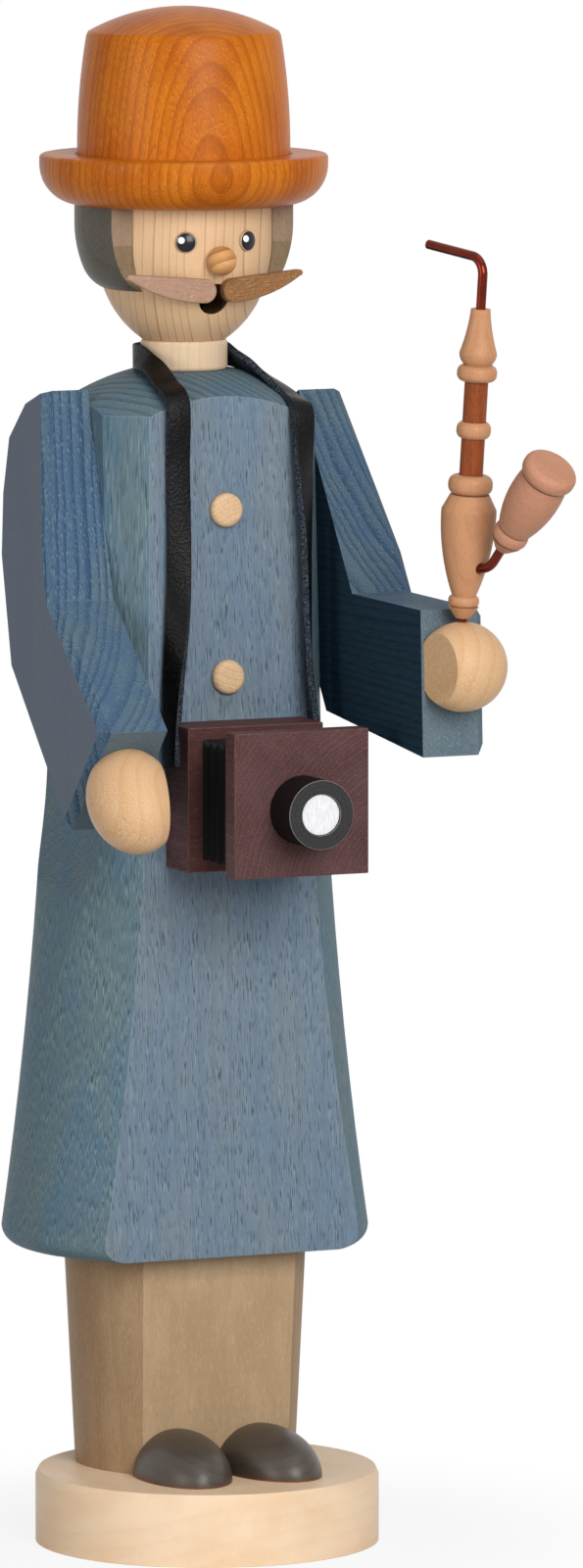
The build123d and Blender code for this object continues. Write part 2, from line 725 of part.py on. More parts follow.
right_corners = arm_points(right_arm_shares, right_arm_depth, right_arm_height, right_arm_above_shoulder)
left_corners = arm_points(left_arm_shares, left_arm_depth, left_arm_height, left_arm_above_shoulder)
arm_right = make_arm(-1, right_corners)
arm_left = make_arm(1, left_corners)
right_hand_middle = cuff_plane(-1, right_corners).from_local_coords((0, hand_above_middle, right_hand_out))
left_hand_middle = cuff_plane(1, left_corners).from_local_coords((0, hand_above_middle, left_hand_out))

# Pipe: every piece is turned about one axis, which leans away from the face
turn = radians(pipe_turn)
lean = radians(pipe_lean)
ahead = Vector(sin(turn), -cos(turn), 0)
pipe_axis_direction = ahead * sin(lean) + Vector(0, 0, 1) * cos(lean)
pipe_out = ahead * cos(lean) - Vector(0, 0, 1) * sin(lean)
pipe_foot = left_hand_middle + Vector(0, 0, 1) * hand_radius
pipe_axis = Axis(pipe_foot, pipe_axis_direction)
# Drawn as distance out from the axis, away from the face, and height along it
pipe_section = Plane(pipe_foot, x_dir=pipe_out, z_dir=pipe_out.cross(pipe_axis_direction))


def across_pipe(height):
    """The plane square to the pipe at a height along it."""
    return Plane(pipe_foot + pipe_axis_direction * height, x_dir=pipe_out, z_dir=pipe_axis_direction)


def make_hand(side, corners, middle, half_length, wire_hole=None):
    """A turned egg with a flat on the inner side, cut off at the cuff and bored for its dowel."""
    cuff = cuff_plane(side, corners)
    with BuildPart() as hand:
        with BuildSketch(Plane(middle, x_dir=cuff.z_dir, z_dir=cuff.x_dir)):
            Ellipse(half_length, hand_radius)
            split(bisect_by=Plane.XZ)
        revolve(axis=Axis(middle, cuff.z_dir))
        split(bisect_by=cuff, keep=Keep.TOP)
        face_turn = radians(hand_flat_turn)
        outwards = Vector(side * cos(face_turn), sin(face_turn), 0)
        split(bisect_by=Plane(middle - outwards * hand_flat, x_dir=up, z_dir=outwards), keep=Keep.TOP)
        with BuildSketch(cuff):
            with Locations((0, hand_above_middle)):
                Circle(hand_dowel_radius + glue_gap)
        extrude(amount=hand_dowel_length / 2 + glue_gap, mode=Mode.SUBTRACT)
        if wire_hole:
            with BuildSketch(wire_hole):
                Circle(pipe_wire_radius + glue_gap)
            extrude(amount=-(overrun + wire_in_wood + glue_gap), mode=Mode.SUBTRACT)
    return hand.part


hand_right = make_hand(-1, right_corners, right_hand_middle, right_hand_half_length)
hand_left = make_hand(1, left_corners, left_hand_middle, hand_radius, across_pipe(overrun))

# Arm dowels: one each side, half in the coat and half in the arm
with BuildPart() as arm_dowels:
    for side in (-1, 1):
        start = place(side * (arm_seat_offset - arm_dowel_length / 2), arm_dowel_forward,
                      hem_height + arm_dowel_height)
        with BuildSketch(Plane(start, x_dir=(0, 1, 0), z_dir=(side, 0, 0))):
            Circle(arm_dowel_radius)
        extrude(amount=arm_dowel_length)

# Hand dowels: one each side, half in the cuff and half in the hand
with BuildPart() as hand_dowels:
    for side, corners in ((-1, right_corners), (1, left_corners)):
        with BuildSketch(cuff_plane(side, corners).offset(-hand_dowel_length / 2)):
            with Locations((0, hand_above_middle)):
                Circle(hand_dowel_radius)
        extrude(amount=hand_dowel_length)

# Camera box, bellows, lens board and lens, one behind the other on the front of the coat
camera_plane = Plane(place(camera_offset, camera_back_forward, hem_height + camera_middle),
                     x_dir=(1, 0, 0), z_dir=(0, -1, 0))
bellows_plane = camera_plane.offset(camera_box_depth)
board_plane = bellows_plane.offset(bellows_length)
lens_plane = board_plane.offset(lens_board_thickness)
barrel_front = lens_plane.offset(lens_barrel_length)

with BuildPart() as camera_back:
    with BuildSketch(camera_plane):
        Rectangle(camera_box_width, camera_box_height)
    extrude(amount=camera_box_depth)
    with BuildSketch(camera_plane):
        Circle(camera_dowel_radius + glue_gap)
    extrude(amount=camera_dowel_length / 2 + glue_gap, mode=Mode.SUBTRACT)

with BuildPart() as camera_dowel:
    with BuildSketch(camera_plane.offset(-camera_dowel_length / 2)):
        Circle(camera_dowel_radius)
    extrude(amount=camera_dowel_length)

# Bellows: each pleat narrows to a valley and widens again
with BuildPart() as camera_bellows:
    half_pleat = bellows_length / (2 * bellows_pleats)
    for fold in range(2 * bellows_pleats + 1):
        valley = bellows_pleat_depth * (fold % 2)
        with BuildSketch(bellows_plane.offset(fold * half_pleat)):
            Rectangle(bellows_width - 2 * valley, bellows_height - 2 * valley)
    loft(ruled=True)

with BuildPart() as camera_front:
    with BuildSketch(board_plane):
        with Locations((0, lens_board_rise)):
            Rectangle(lens_board_width, lens_board_height)
    extrude(amount=lens_board_thickness)
    with BuildSketch(lens_plane):
        Circle(lens_spigot_radius + glue_gap)
    extrude(amount=-(lens_spigot_length + glue_gap), mode=Mode.SUBTRACT)

# Lens barrel: turned, with a sinking in front for the silver disc and a spigot behind
with BuildPart() as lens_barrel:
    with BuildSketch(lens_plane):
        Circle(lens_barrel_radius)
    extrude(amount=lens_barrel_length)
    with BuildSketch(lens_plane):
        Circle(lens_spigot_radius)
    extrude(amount=-lens_spigot_length)
    with BuildSketch(barrel_front):
        Circle(lens_bore_radius)
    extrude(amount=-(lens_disc_thickness + lens_disc_recess), mode=Mode.SUBTRACT)

with BuildPart() as lens_disc:
    with BuildSketch(barrel_front.offset(-lens_disc_recess)):
        Circle(lens_bore_radius - glue_gap)
    extrude(amount=-lens_disc_thickness)

# Leather band: a flat strip from one side of the camera box up the chest, round the neck on
# its edge and down again, drawn as cross-sections square to its route
strap_lift = leather_gap + strap_thickness / 2


def dome_height(radius):
    """Height above the table of the shoulder dome, a cone with a slight bulge."""
    share = (coat_shoulder_radius - radius) / (coat_shoulder_radius - collar_seat_radius)
    share = min(max(share, 0), 1)
    return shoulder_height + shoulder_rise * share + 4 * shoulder_bulge * share * (1 - share)


def strap_side(side, chest):
    """Places along one half of the band, from behind the neck down to the camera, each with
    the direction that points across the band from its outer to its inner edge."""
    neck = collar_radius + strap_lift
    upright = coat_top + leather_gap + strap_width / 2
    inward = Vector(-side, 0, 0)
    forward = Vector(0, -1, 0)
    box_side = camera_offset + side * (camera_box_width / 2 + strap_lift)
    box_forward = camera_back_forward + strap_side_forward
    box_bottom = hem_height + camera_bottom_height
    box_top = box_bottom + camera_box_height
    edge = coat_flat_shoulder + strap_lift
    tilt = radians(strap_leave_tilt)
    over_dome = strap_lift + strap_dome_lift
    places = []
    for turn in strap_neck_turns:
        angle = radians(turn)
        places.append((place(side * neck * sin(angle), -neck * cos(angle), upright), Vector(up)))
    leave = place(side * (neck + strap_leave_out), neck * strap_leave_share, upright - strap_leave_drop)
    places.append((leave, Vector(up) * cos(tilt) + inward * sin(tilt)))
    sloping = inward + Vector(up) * strap_slope
    middle = (neck + chest) / 2
    last = edge * strap_edge_share
    places.append((place(side * middle, neck, dome_height(hypot(middle, neck)) + over_dome), sloping))
    places.append((place(side * chest, last, dome_height(hypot(chest, last)) + over_dome), sloping))
    arch = dome_height(hypot(chest, coat_flat_shoulder))
    places.append((place(side * chest, edge + strap_lift, arch + strap_lift), sloping))
    for level in (shoulder_height - strap_chest_drop, box_top + strap_above_camera):
        places.append((place(side * chest, coat_flat(level) + strap_lift, level), inward))
    places.append((place(box_side, box_forward, box_top + strap_width), forward))
    places.append((place(box_side, box_forward, box_bottom + strap_end_height), forward))
    return places


def eased(places):
    """The same places with others between them wherever the band twists."""
    filled = [places[0]]
    for (start, across), (end, next_across) in zip(places, places[1:]):
        steps = 1 + int(across.get_angle(next_across) / strap_twist_step)
        for step in range(steps):
            share = (step + 1) / steps
            filled.append((start + (end - start) * share, across + (next_across - across) * share))
    return filled


strap_halves = [strap_side(side, strap_chest_offsets[name]) for name, side in eye_sides.items()]
behind_neck = place(0, -(collar_radius + strap_lift), coat_top + leather_gap + strap_width / 2)
band = eased(strap_halves[0][::-1] + [(behind_neck, Vector(up))] + strap_halves[1])
with BuildPart() as camera_strap:
    for index, (point, across) in enumerate(band):
        before = band[max(index - 1, 0)][0]
        after = band[min(index + 1, len(band) - 1)][0]
        with BuildSketch(Plane(point, x_dir=across, z_dir=after - before)):
            Rectangle(strap_width, strap_thickness)
    loft(ruled=True)


def bead(radius, low, height):
    """Half outline of a turned bead: straight side, edges rounded by a share of its height."""
    soft = height * bead_rounding_share
    CenterArc((radius - soft, low + soft), soft, -quarter_turn, quarter_turn)
    Line((radius, low + soft), (radius, low + height - soft))
    CenterArc((radius - soft, low + height - soft), soft, 0, quarter_turn)
    Polyline((radius - soft, low + height), (0, low + height), (0, low), (radius - soft, low))


body_low = pipe_stand_off + pipe_foot_length
body_high = body_low + pipe_body_length
ring_high = body_high + pipe_ring_height
mouth_ring_low = ring_high + stem_length
mouthpiece_low = mouth_ring_low + mouth_ring_height
mouthpiece_high = mouthpiece_low + mouthpiece_height
bead_low = ring_high + stem_length * stem_bead_share - stem_bead_height / 2

# Pipe peg: wire from the hand into the foot of the pipe
with BuildPart() as pipe_peg:
    with BuildSketch(across_pipe(-wire_in_wood)):
        Circle(pipe_wire_radius)
    extrude(amount=2 * wire_in_wood + pipe_stand_off)

# The bowl hangs on a wire that leaves the body square to it and bends up into its tip
tilt = radians(bowl_tilt)
bowl_tip = (bowl_out, pipe_stand_off + bowl_up)
wire_height = pipe_stand_off + bowl_wire_height
bend_height = wire_height + pipe_wire_radius
bend_corner = (bowl_tip[0] - (bowl_tip[1] - bend_height) * tan(tilt), bend_height)
wire_start = (pipe_body_foot_radius - pipe_wire_radius, wire_height)
wire_end = (bowl_tip[0] + wire_in_wood * sin(tilt), bowl_tip[1] + wire_in_wood * cos(tilt))


def sweep_bowl_wire(radius, start, end):
    """A round wire along the bent route between pipe body and bowl."""
    with BuildPart(mode=Mode.PRIVATE) as wire:
        with BuildLine(pipe_section) as route:
            FilletPolyline(start, bend_corner, end, radius=bowl_wire_bend)
        with BuildSketch(Plane(route.line @ 0, z_dir=route.line % 0)):
            Circle(radius)
        sweep(path=route.line)
    return wire.part


bowl_wire = sweep_bowl_wire(pipe_wire_radius, wire_start, wire_end)
wire_hole = sweep_bowl_wire(pipe_wire_radius + glue_gap, wire_start, wire_end)

# Pipe body: cone tip, bead, swelling body and top ring in one turned piece
with BuildPart() as pipe_body:
    with BuildSketch(pipe_section):
        with BuildLine():
            tip = pipe_stand_off + pipe_foot_length - pipe_foot_bead_height
            Polyline((0, pipe_stand_off), (pipe_foot_tip_radius, pipe_stand_off),
                     (pipe_foot_bead_radius, tip), (0, tip), close=True)
        make_face()
        with BuildLine():
            bead(pipe_foot_bead_radius, tip, pipe_foot_bead_height)
        make_face()
        with BuildLine():
            shoulder = body_low + pipe_shoulder_height
            Line((0, body_low), (pipe_body_foot_radius, body_low))
            SagittaArc((pipe_body_foot_radius, body_low), (pipe_body_radius, shoulder), -pipe_body_belly)
            Polyline((pipe_body_radius, shoulder), (pipe_shoulder_radius, body_high), (0, body_high),
                     (0, body_low))
        make_face()
        with BuildLine():
            bead(pipe_ring_radius, body_high, pipe_ring_height)
        make_face()
    revolve(axis=pipe_axis)
    with BuildSketch(across_pipe(pipe_stand_off - overrun)):
        Circle(pipe_wire_radius + glue_gap)
    extrude(amount=overrun + wire_in_wood + glue_gap, mode=Mode.SUBTRACT)
    with BuildSketch(across_pipe(ring_high - stem_in_body - glue_gap)):
        Circle(stem_radius + glue_gap)
    extrude(amount=stem_in_body + glue_gap + overrun, mode=Mode.SUBTRACT)
    add(wire_hole, mode=Mode.SUBTRACT)

# Pipe stem: a straight dowel from the body through the bead into the mouthpiece
with BuildPart() as pipe_stem:
    with BuildSketch(across_pipe(ring_high - stem_in_body)):
        Circle(stem_radius)
    extrude(amount=stem_in_body + stem_length + stem_in_mouthpiece)

with BuildPart() as pipe_bead:
    with BuildSketch(pipe_section):
        with BuildLine():
            bead(stem_bead_radius, bead_low, stem_bead_height)
        make_face()
    revolve(axis=pipe_axis)
    with BuildSketch(across_pipe(bead_low - overrun)):
        Circle(stem_radius + glue_gap)
    extrude(amount=stem_bead_height + 2 * overrun, mode=Mode.SUBTRACT)

# Mouthpiece: ring and pear-shaped tip turned in one piece, bored for stem and wire
with BuildPart() as pipe_mouthpiece:
    with BuildSketch(pipe_section):
        with BuildLine():
            bead(mouth_ring_radius, mouth_ring_low, mouth_ring_height)
        make_face()
        with BuildLine():
            wide = (mouthpiece_radius, mouthpiece_low + mouthpiece_wide_height)
            Line((0, mouthpiece_low), (mouthpiece_foot_radius, mouthpiece_low))
            SagittaArc((mouthpiece_foot_radius, mouthpiece_low), wide, -mouthpiece_belly)
            SagittaArc(wide, (mouthpiece_tip_radius, mouthpiece_high), mouthpiece_hollow)
            Polyline((mouthpiece_tip_radius, mouthpiece_high), (0, mouthpiece_high), (0, mouthpiece_low))
        make_face()
    revolve(axis=pipe_axis)
    with BuildSketch(across_pipe(mouth_ring_low - overrun)):
        Circle(stem_radius + glue_gap)
    extrude(amount=overrun + stem_in_mouthpiece + glue_gap, mode=Mode.SUBTRACT)
    with BuildSketch(across_pipe(mouthpiece_high + overrun)):
        Circle(pipe_wire_radius + glue_gap)
    extrude(amount=-(overrun + wire_in_wood + glue_gap), mode=Mode.SUBTRACT)

# Mouth wire: up out of the mouthpiece, then bent square towards the face
with BuildPart() as pipe_mouth_wire:
    with BuildLine(pipe_section) as mouth_route:
        corner_height = mouthpiece_high + mouth_wire_rise
        FilletPolyline((0, mouthpiece_high - wire_in_wood), (0, corner_height),
                       (-mouth_wire_reach, corner_height + mouth_wire_slope), radius=mouth_wire_bend)
    with BuildSketch(Plane(mouth_route.line @ 0, z_dir=mouth_route.line % 0)):
        Circle(pipe_wire_radius)
    sweep(path=mouth_route.line)

# Pipe bowl: cone tip, bead, barrel and rim turned in one piece
bowl_direction = pipe_out * sin(tilt) + pipe_axis_direction * cos(tilt)
bowl_side = pipe_out * cos(tilt) - pipe_axis_direction * sin(tilt)
bowl_foot = pipe_section.from_local_coords((bowl_tip[0], bowl_tip[1], 0))
bowl_section = Plane(bowl_foot, x_dir=bowl_side, z_dir=bowl_side.cross(bowl_direction))
with BuildPart() as pipe_bowl:
    with BuildSketch(bowl_section):
        barrel_low = bowl_bead_start + bowl_bead_height
        barrel_high = bowl_length - bowl_rim_height
        with BuildLine():
            Polyline((0, 0), (bowl_tip_radius, 0), (bowl_tip_flare, bowl_bead_start),
                     (0, bowl_bead_start), close=True)
        make_face()
        with BuildLine():
            bead(bowl_bead_radius, bowl_bead_start, bowl_bead_height)
        make_face()
        with BuildLine():
            Line((0, barrel_low), (bowl_neck_radius, barrel_low))
            swell = (bowl_radius, (barrel_low + barrel_high) / 2)
            ThreePointArc((bowl_neck_radius, barrel_low), swell, (bowl_top_radius, barrel_high))
            Polyline((bowl_top_radius, barrel_high), (0, barrel_high), (0, barrel_low))
        make_face()
        with BuildLine():
            bead(bowl_rim_radius, barrel_high, bowl_rim_height)
        make_face()
    revolve(axis=Axis(bowl_foot, bowl_direction))
    add(wire_hole, mode=Mode.SUBTRACT)

parts = {
    "base_plate": base_plate.part, "base_screw": base_screw.part, "trousers": trousers.part,
    "shoe_right": shoe_right, "shoe_left": shoe_left, "burner_dish": burner_dish.part,
    "burner_nail": burner_nail.part, "coat": coat.part, "neck_collar": neck_collar.part,
    "neck_tube": neck_tube.part, "head": head.part, "eye_right": eyes["right"], "eye_left": eyes["left"],
    "nose": nose.part, "moustache_right": moustache_right, "moustache_left": moustache_left,
    "hair": hair.part, "hat": hat.part, "button_upper": buttons["upper"], "button_lower": buttons["lower"],
    "arm_right": arm_right, "arm_left": arm_left, "arm_dowels": arm_dowels.part,
    "hand_right": hand_right, "hand_left": hand_left, "hand_dowels": hand_dowels.part,
    "camera_strap": camera_strap.part, "camera_back": camera_back.part, "camera_dowel": camera_dowel.part,
    "camera_bellows": camera_bellows.part, "camera_front": camera_front.part,
    "lens_barrel": lens_barrel.part, "lens_disc": lens_disc.part, "pipe_peg": pipe_peg.part,
    "pipe_body": pipe_body.part, "pipe_stem": pipe_stem.part, "pipe_bead": pipe_bead.part,
    "pipe_mouthpiece": pipe_mouthpiece.part, "pipe_mouth_wire": pipe_mouth_wire.part,
    "pipe_bowl": pipe_bowl.part, "bowl_wire": bowl_wire,
}
os.makedirs("parts", exist_ok=True)
for name, part in parts.items():
    part.label = name
    export_step(part, f"parts/{name}.step")
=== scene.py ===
import bmesh
import bpy
import numpy as np
from math import cos, pi, radians, sin
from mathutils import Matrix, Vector


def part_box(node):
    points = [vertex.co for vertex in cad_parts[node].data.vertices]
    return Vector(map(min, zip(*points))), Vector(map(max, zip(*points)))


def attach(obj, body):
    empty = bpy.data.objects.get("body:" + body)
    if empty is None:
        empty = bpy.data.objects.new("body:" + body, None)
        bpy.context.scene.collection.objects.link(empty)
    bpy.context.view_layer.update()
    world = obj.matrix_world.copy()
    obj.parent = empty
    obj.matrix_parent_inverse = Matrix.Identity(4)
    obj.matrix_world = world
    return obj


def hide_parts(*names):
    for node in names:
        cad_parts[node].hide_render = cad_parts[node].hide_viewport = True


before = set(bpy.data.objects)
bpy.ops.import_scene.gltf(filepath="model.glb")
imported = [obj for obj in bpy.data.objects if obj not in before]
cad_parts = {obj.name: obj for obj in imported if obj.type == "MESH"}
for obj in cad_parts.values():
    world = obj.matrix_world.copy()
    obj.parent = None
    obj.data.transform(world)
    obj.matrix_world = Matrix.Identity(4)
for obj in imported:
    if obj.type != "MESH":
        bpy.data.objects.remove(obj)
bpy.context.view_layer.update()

# View: the scene's camera has a long lens and looks from a little above and from the figure's
# right, so that the front and the figure's right side show. Its places are in metres, as all
# of the frame's are.
camera = bpy.data.objects.new("camera", bpy.data.cameras.new("camera"))
bpy.context.scene.collection.objects.link(camera)
camera.data.sensor_fit = "VERTICAL"
camera.data.sensor_height = 36.0
camera.data.lens = 289.3
camera.data.clip_start = 0.1
camera.data.clip_end = 50.0
camera.data.dof.use_dof = False
looked_at = Vector((0.02272, -0.00988, 0.22287))
camera.location = (-1.43306, -3.35795, 0.64397)
camera.rotation_euler = (looked_at - camera.location).to_track_quat("-Z", "Y").to_euler()
bpy.context.scene.camera = camera
bpy.context.scene.view_settings.view_transform = "Standard"


# Studio: a pale table that fades into white surroundings, a broad soft lamp in front, a weaker
# one from the left and a faint one overhead. What is seen straight, in a gloss or through
# something clear is white, and all other light from the surroundings is a dim room.
def colour(code):
    """An sRGB hex colour as linear red, green, blue and alpha."""
    part = np.array([int(code[place:place + 2], 16) for place in (1, 3, 5)]) / 255
    part = np.where(part <= 0.04045, part / 12.92, ((part + 0.055) / 1.055) ** 2.4)
    return (*part.tolist(), 1.0)


def add(tree, kind, inputs=(), **settings):
    """Adds a node; inputs gives each named or numbered socket a value or a node's output."""
    node = tree.nodes.new(kind)
    for name, value in settings.items():
        setattr(node, name, value)
    for socket, value in dict(inputs).items():
        if isinstance(value, bpy.types.NodeSocket):
            tree.links.new(value, node.inputs[socket])
        else:
            node.inputs[socket].default_value = value
    return node


def blank_material(name):
    """A new material and its emptied node tree."""
    made = bpy.data.materials.new(name)
    made.use_nodes = True
    made.node_tree.nodes.clear()
    return made, made.node_tree


def seen_white(tree):
    """1 for rays from the camera, from a gloss or through something clear, 0 for the others."""
    ray = add(tree, "ShaderNodeLightPath")
    gloss = add(tree, "ShaderNodeMath", {0: ray.outputs["Is Camera Ray"],
                                         1: ray.outputs["Is Glossy Ray"]}, operation="MAXIMUM")
    clear = add(tree, "ShaderNodeMath", {0: gloss.outputs[0],
                                         1: ray.outputs["Is Transmission Ray"]},
                operation="MAXIMUM")
    return clear.outputs[0]


world = bpy.data.worlds.new("studio")
world.use_nodes = True
bpy.context.scene.world = world
tree = world.node_tree
tree.nodes.clear()
room = add(tree, "ShaderNodeBackground", {"Color": colour("#F4F6FA"), "Strength": 0.14})
white = add(tree, "ShaderNodeBackground", {"Color": colour("#FFFFFF"), "Strength": 1.0})
both = add(tree, "ShaderNodeMixShader", {0: seen_white(tree), 1: room.outputs[0],
                                         2: white.outputs[0]})
add(tree, "ShaderNodeOutputWorld", {"Surface": both.outputs[0]})

# The table's paint keeps a faint shadow round the base and fades to white further out, between
# the two distances from its middle.
table_half, fade_starts, fade_ends = 6, 0.06, 0.17
table_paint, tree = blank_material("table_paint")
spot = add(tree, "ShaderNodeTexCoord")
away = add(tree, "ShaderNodeVectorMath", {0: spot.outputs["Object"]}, operation="LENGTH")
fade = add(tree, "ShaderNodeMapRange", {"Value": away.outputs["Value"], "From Min": fade_starts,
                                        "From Max": fade_ends, "To Min": 0.88, "To Max": 1.0},
           interpolation_type="SMOOTHSTEP")
glowing = add(tree, "ShaderNodeMath", {0: seen_white(tree), 1: fade.outputs[0]},
              operation="MULTIPLY")
matt = add(tree, "ShaderNodeBsdfDiffuse", {"Color": colour("#D2D2D2")})
glow = add(tree, "ShaderNodeEmission", {"Color": colour("#FFFFFF"), "Strength": 1.0})
both = add(tree, "ShaderNodeMixShader", {0: glowing.outputs[0], 1: matt.outputs[0],
                                         2: glow.outputs[0]})
add(tree, "ShaderNodeOutputMaterial", {"Surface": both.outputs[0]})
corners = [(x * table_half, y * table_half, 0) for x, y in ((-1, -1), (1, -1), (1, 1), (-1, 1))]
table_top = bpy.data.meshes.new("table")
table_top.from_pydata(corners, [], [(0, 1, 2, 3)])
table_top.materials.append(table_paint)
table = bpy.data.objects.new("table", table_top)
bpy.context.scene.collection.objects.link(table)

# The lamps' places and sizes are in metres and their powers in watts.
lamps_aim = Vector((0, 0, 0.22))
lamps = {
    "lamp_front": ((0.0, -1.8, 0.95), 1.0, 30.0),
    "lamp_left": ((-1.9, -0.5, 0.6), 0.9, 9.8),
    "lamp_above": ((0.2, -0.5, 1.7), 1.2, 5.0),
}
for name, (place, size, power) in lamps.items():
    lamp = bpy.data.objects.new(name, bpy.data.lights.new(name, "AREA"))
    lamp.data.size = size
    lamp.data.energy = power
    lamp.location = place
    lamp.rotation_euler = (lamps_aim - lamp.location).to_track_quat("-Z", "Y").to_euler()
    bpy.context.scene.collection.objects.link(lamp)

# Base plate: a turned disc of pale lime with a bevelled edge, under clear satin lacquer. It
# carries everything, and a countersunk screw holds the legs on it from below.
rings_wander = (0.05, 0.05, 0.016)
stain_clouds = (0.06, 0.06, 0.02)
fibre_strands = (2.2, 2.2, 0.09)
weld_distance, flat_angle = 1e-6, radians(0.5)


def wood(name, early, late, pore, ring=3.0, pith=(0, 0, 0), lean=(0, 0, 0), wobble=1.5,
         late_share=0.4, rings=1.0, end_rings=1.0, pores=0.4, pore_wide=0.4, pore_long=4.0,
         porous=0.0, pale=None, patch=None, fibre=0.04, rough=0.42, dents=0.03, edge=None,
         soft=0.4, sheen=0.15):
    """Lacquered or stained wood, all sizes in millimetres and the lean of its grain in degrees.
    Year rings: the fraction of (distance from the pith line + slow noise) / ring, with a second
    noise that makes the years uneven, early to late wood; they show by the share rings on long
    grain and end_rings on end grain. Pores are noise stretched along the grain, dark and pale,
    kept to the early wood by the share porous. Those of beech and lime are drawn coarser than
    they are, or they wouldn't show. patch is a second stain tone in large clouds, edge the
    colour where arrises are worn over the width soft.
    Per millimetre, across and along the grain: rings_wander is one swing in 20 and 62 mm,
    stain_clouds one in 17 and 50 mm, and fibre_strands one in 0.45 and 11 mm, because real
    fibres are too fine to show."""
    made, tree = blank_material(name)
    leaning = tuple(radians(angle) for angle in lean)
    spot = add(tree, "ShaderNodeTexCoord")
    board = add(tree, "ShaderNodeMapping", {"Vector": spot.outputs["Object"],
                                            "Location": tuple(value / 1000 for value in pith),
                                            "Rotation": leaning, "Scale": (0.001, 0.001, 0.001)},
                vector_type="TEXTURE")
    slow = add(tree, "ShaderNodeMapping", {"Vector": board.outputs[0], "Scale": rings_wander})
    slow = add(tree, "ShaderNodeTexNoise", {"Vector": slow.outputs[0], "Scale": 1.0, "Detail": 2.0})
    drift = add(tree, "ShaderNodeVectorMath", {0: slow.outputs["Color"], 1: (-0.5, -0.5, -0.5)},
                operation="ADD")
    drift = add(tree, "ShaderNodeVectorMath", {0: drift.outputs[0], "Scale": 2 * wobble},
                operation="SCALE")
    grown = add(tree, "ShaderNodeVectorMath", {0: board.outputs[0], 1: drift.outputs[0]},
                operation="ADD")
    grown = add(tree, "ShaderNodeVectorMath", {0: grown.outputs[0], 1: (1.0, 1.0, 0.0)},
                operation="MULTIPLY")
    reach = add(tree, "ShaderNodeVectorMath", {0: grown.outputs[0]}, operation="LENGTH")
    years = add(tree, "ShaderNodeMath", {0: reach.outputs["Value"], 1: 1 / ring},
                operation="MULTIPLY")
    uneven = add(tree, "ShaderNodeTexNoise", {"W": years.outputs[0], "Scale": 0.37, "Detail": 1.0},
                 noise_dimensions="1D")
    uneven = add(tree, "ShaderNodeMath", {0: uneven.outputs["Fac"], 1: 1.3, 2: years.outputs[0]},
                 operation="MULTIPLY_ADD")

    # One year, from 0 to 1: the last late wood ends sharply, early wood stays pale, and from
    # 1 - late_share on it darkens to the next ring.
    season = add(tree, "ShaderNodeMath", {0: uneven.outputs[0]}, operation="FRACT")
    zones = add(tree, "ShaderNodeValToRGB", {"Fac": season.outputs[0]})
    ramp = zones.color_ramp.elements
    ramp[0].position, ramp[0].color = 0.0, (0.7, 0.7, 0.7, 1)
    ramp[1].position, ramp[1].color = 0.96, (1, 1, 1, 1)
    for stop, value in ((0.05, 0.0), (1 - late_share, 0.12)):
        step = ramp.new(stop)
        step.color = (value, value, value, 1)

    # The share of end grain in a face sets how strongly its year rings show.
    form = add(tree, "ShaderNodeNewGeometry")
    along = add(tree, "ShaderNodeVectorRotate", {"Vector": (0.0, 0.0, 1.0), "Rotation": leaning},
                rotation_type="EULER_XYZ")
    facing = add(tree, "ShaderNodeVectorMath", {0: form.outputs["Normal"], 1: along.outputs[0]},
                 operation="DOT_PRODUCT")
    facing = add(tree, "ShaderNodeMath", {0: facing.outputs["Value"]}, operation="ABSOLUTE")
    endwise = add(tree, "ShaderNodeMapRange", {"Value": facing.outputs[0], "From Min": 0.45,
                                               "From Max": 0.95, "To Min": rings,
                                               "To Max": end_rings})
    strength = add(tree, "ShaderNodeMath", {0: zones.outputs[0], 1: endwise.outputs[0]},
                   operation="MULTIPLY")

    # Colour: early wood with clouds of stain, late wood over it, then fibres and pores.
    base = colour(early)
    if patch:
        cloud = add(tree, "ShaderNodeMapping", {"Vector": board.outputs[0], "Scale": stain_clouds,
                                                "Location": (3.1, 1.7, 0.4)})
        cloud = add(tree, "ShaderNodeTexNoise", {"Vector": cloud.outputs[0], "Scale": 1.0,
                                                 "Detail": 3.0, "Roughness": 0.6})
        cloud = add(tree, "ShaderNodeMapRange", {"Value": cloud.outputs["Fac"], "From Min": 0.4,
                                                 "From Max": 0.62})
        base = add(tree, "ShaderNodeMix", {"Factor": cloud.outputs[0], 6: colour(early),
                                           7: colour(patch)}, data_type="RGBA").outputs[2]
    grain = add(tree, "ShaderNodeMix", {"Factor": strength.outputs[0], 6: base, 7: colour(late)},
                data_type="RGBA")
    strand = add(tree, "ShaderNodeMapping", {"Vector": board.outputs[0], "Scale": fibre_strands})
    strand = add(tree, "ShaderNodeTexNoise", {"Vector": strand.outputs[0], "Scale": 1.0,
                                              "Detail": 4.0, "Roughness": 0.7})
    tone = add(tree, "ShaderNodeMapRange", {"Value": strand.outputs["Fac"], "From Min": 0.25,
                                            "From Max": 0.75, "To Min": 1 - 2 * fibre,
                                            "To Max": 1 + 2 * fibre})
    grain = add(tree, "ShaderNodeMix", {"Factor": 1.0, 6: grain.outputs[2], 7: tone.outputs[0]},
                data_type="RGBA", blend_type="MULTIPLY", clamp_result=False)
    keep = add(tree, "ShaderNodeMapRange", {"Value": zones.outputs[0], "From Min": 0.0,
                                            "From Max": 0.6, "To Min": pores,
                                            "To Max": pores * (1 - porous)})
    pore_count = (1 / pore_wide, 1 / pore_wide, 1 / pore_long)
    pits = []
    for tint, shift in ((pore, (0.0, 0.0, 0.0)), (pale, (0.55, 0.4, 0.2))):
        if tint:
            tubes = add(tree, "ShaderNodeMapping", {"Vector": board.outputs[0], "Location": shift,
                                                    "Scale": pore_count})
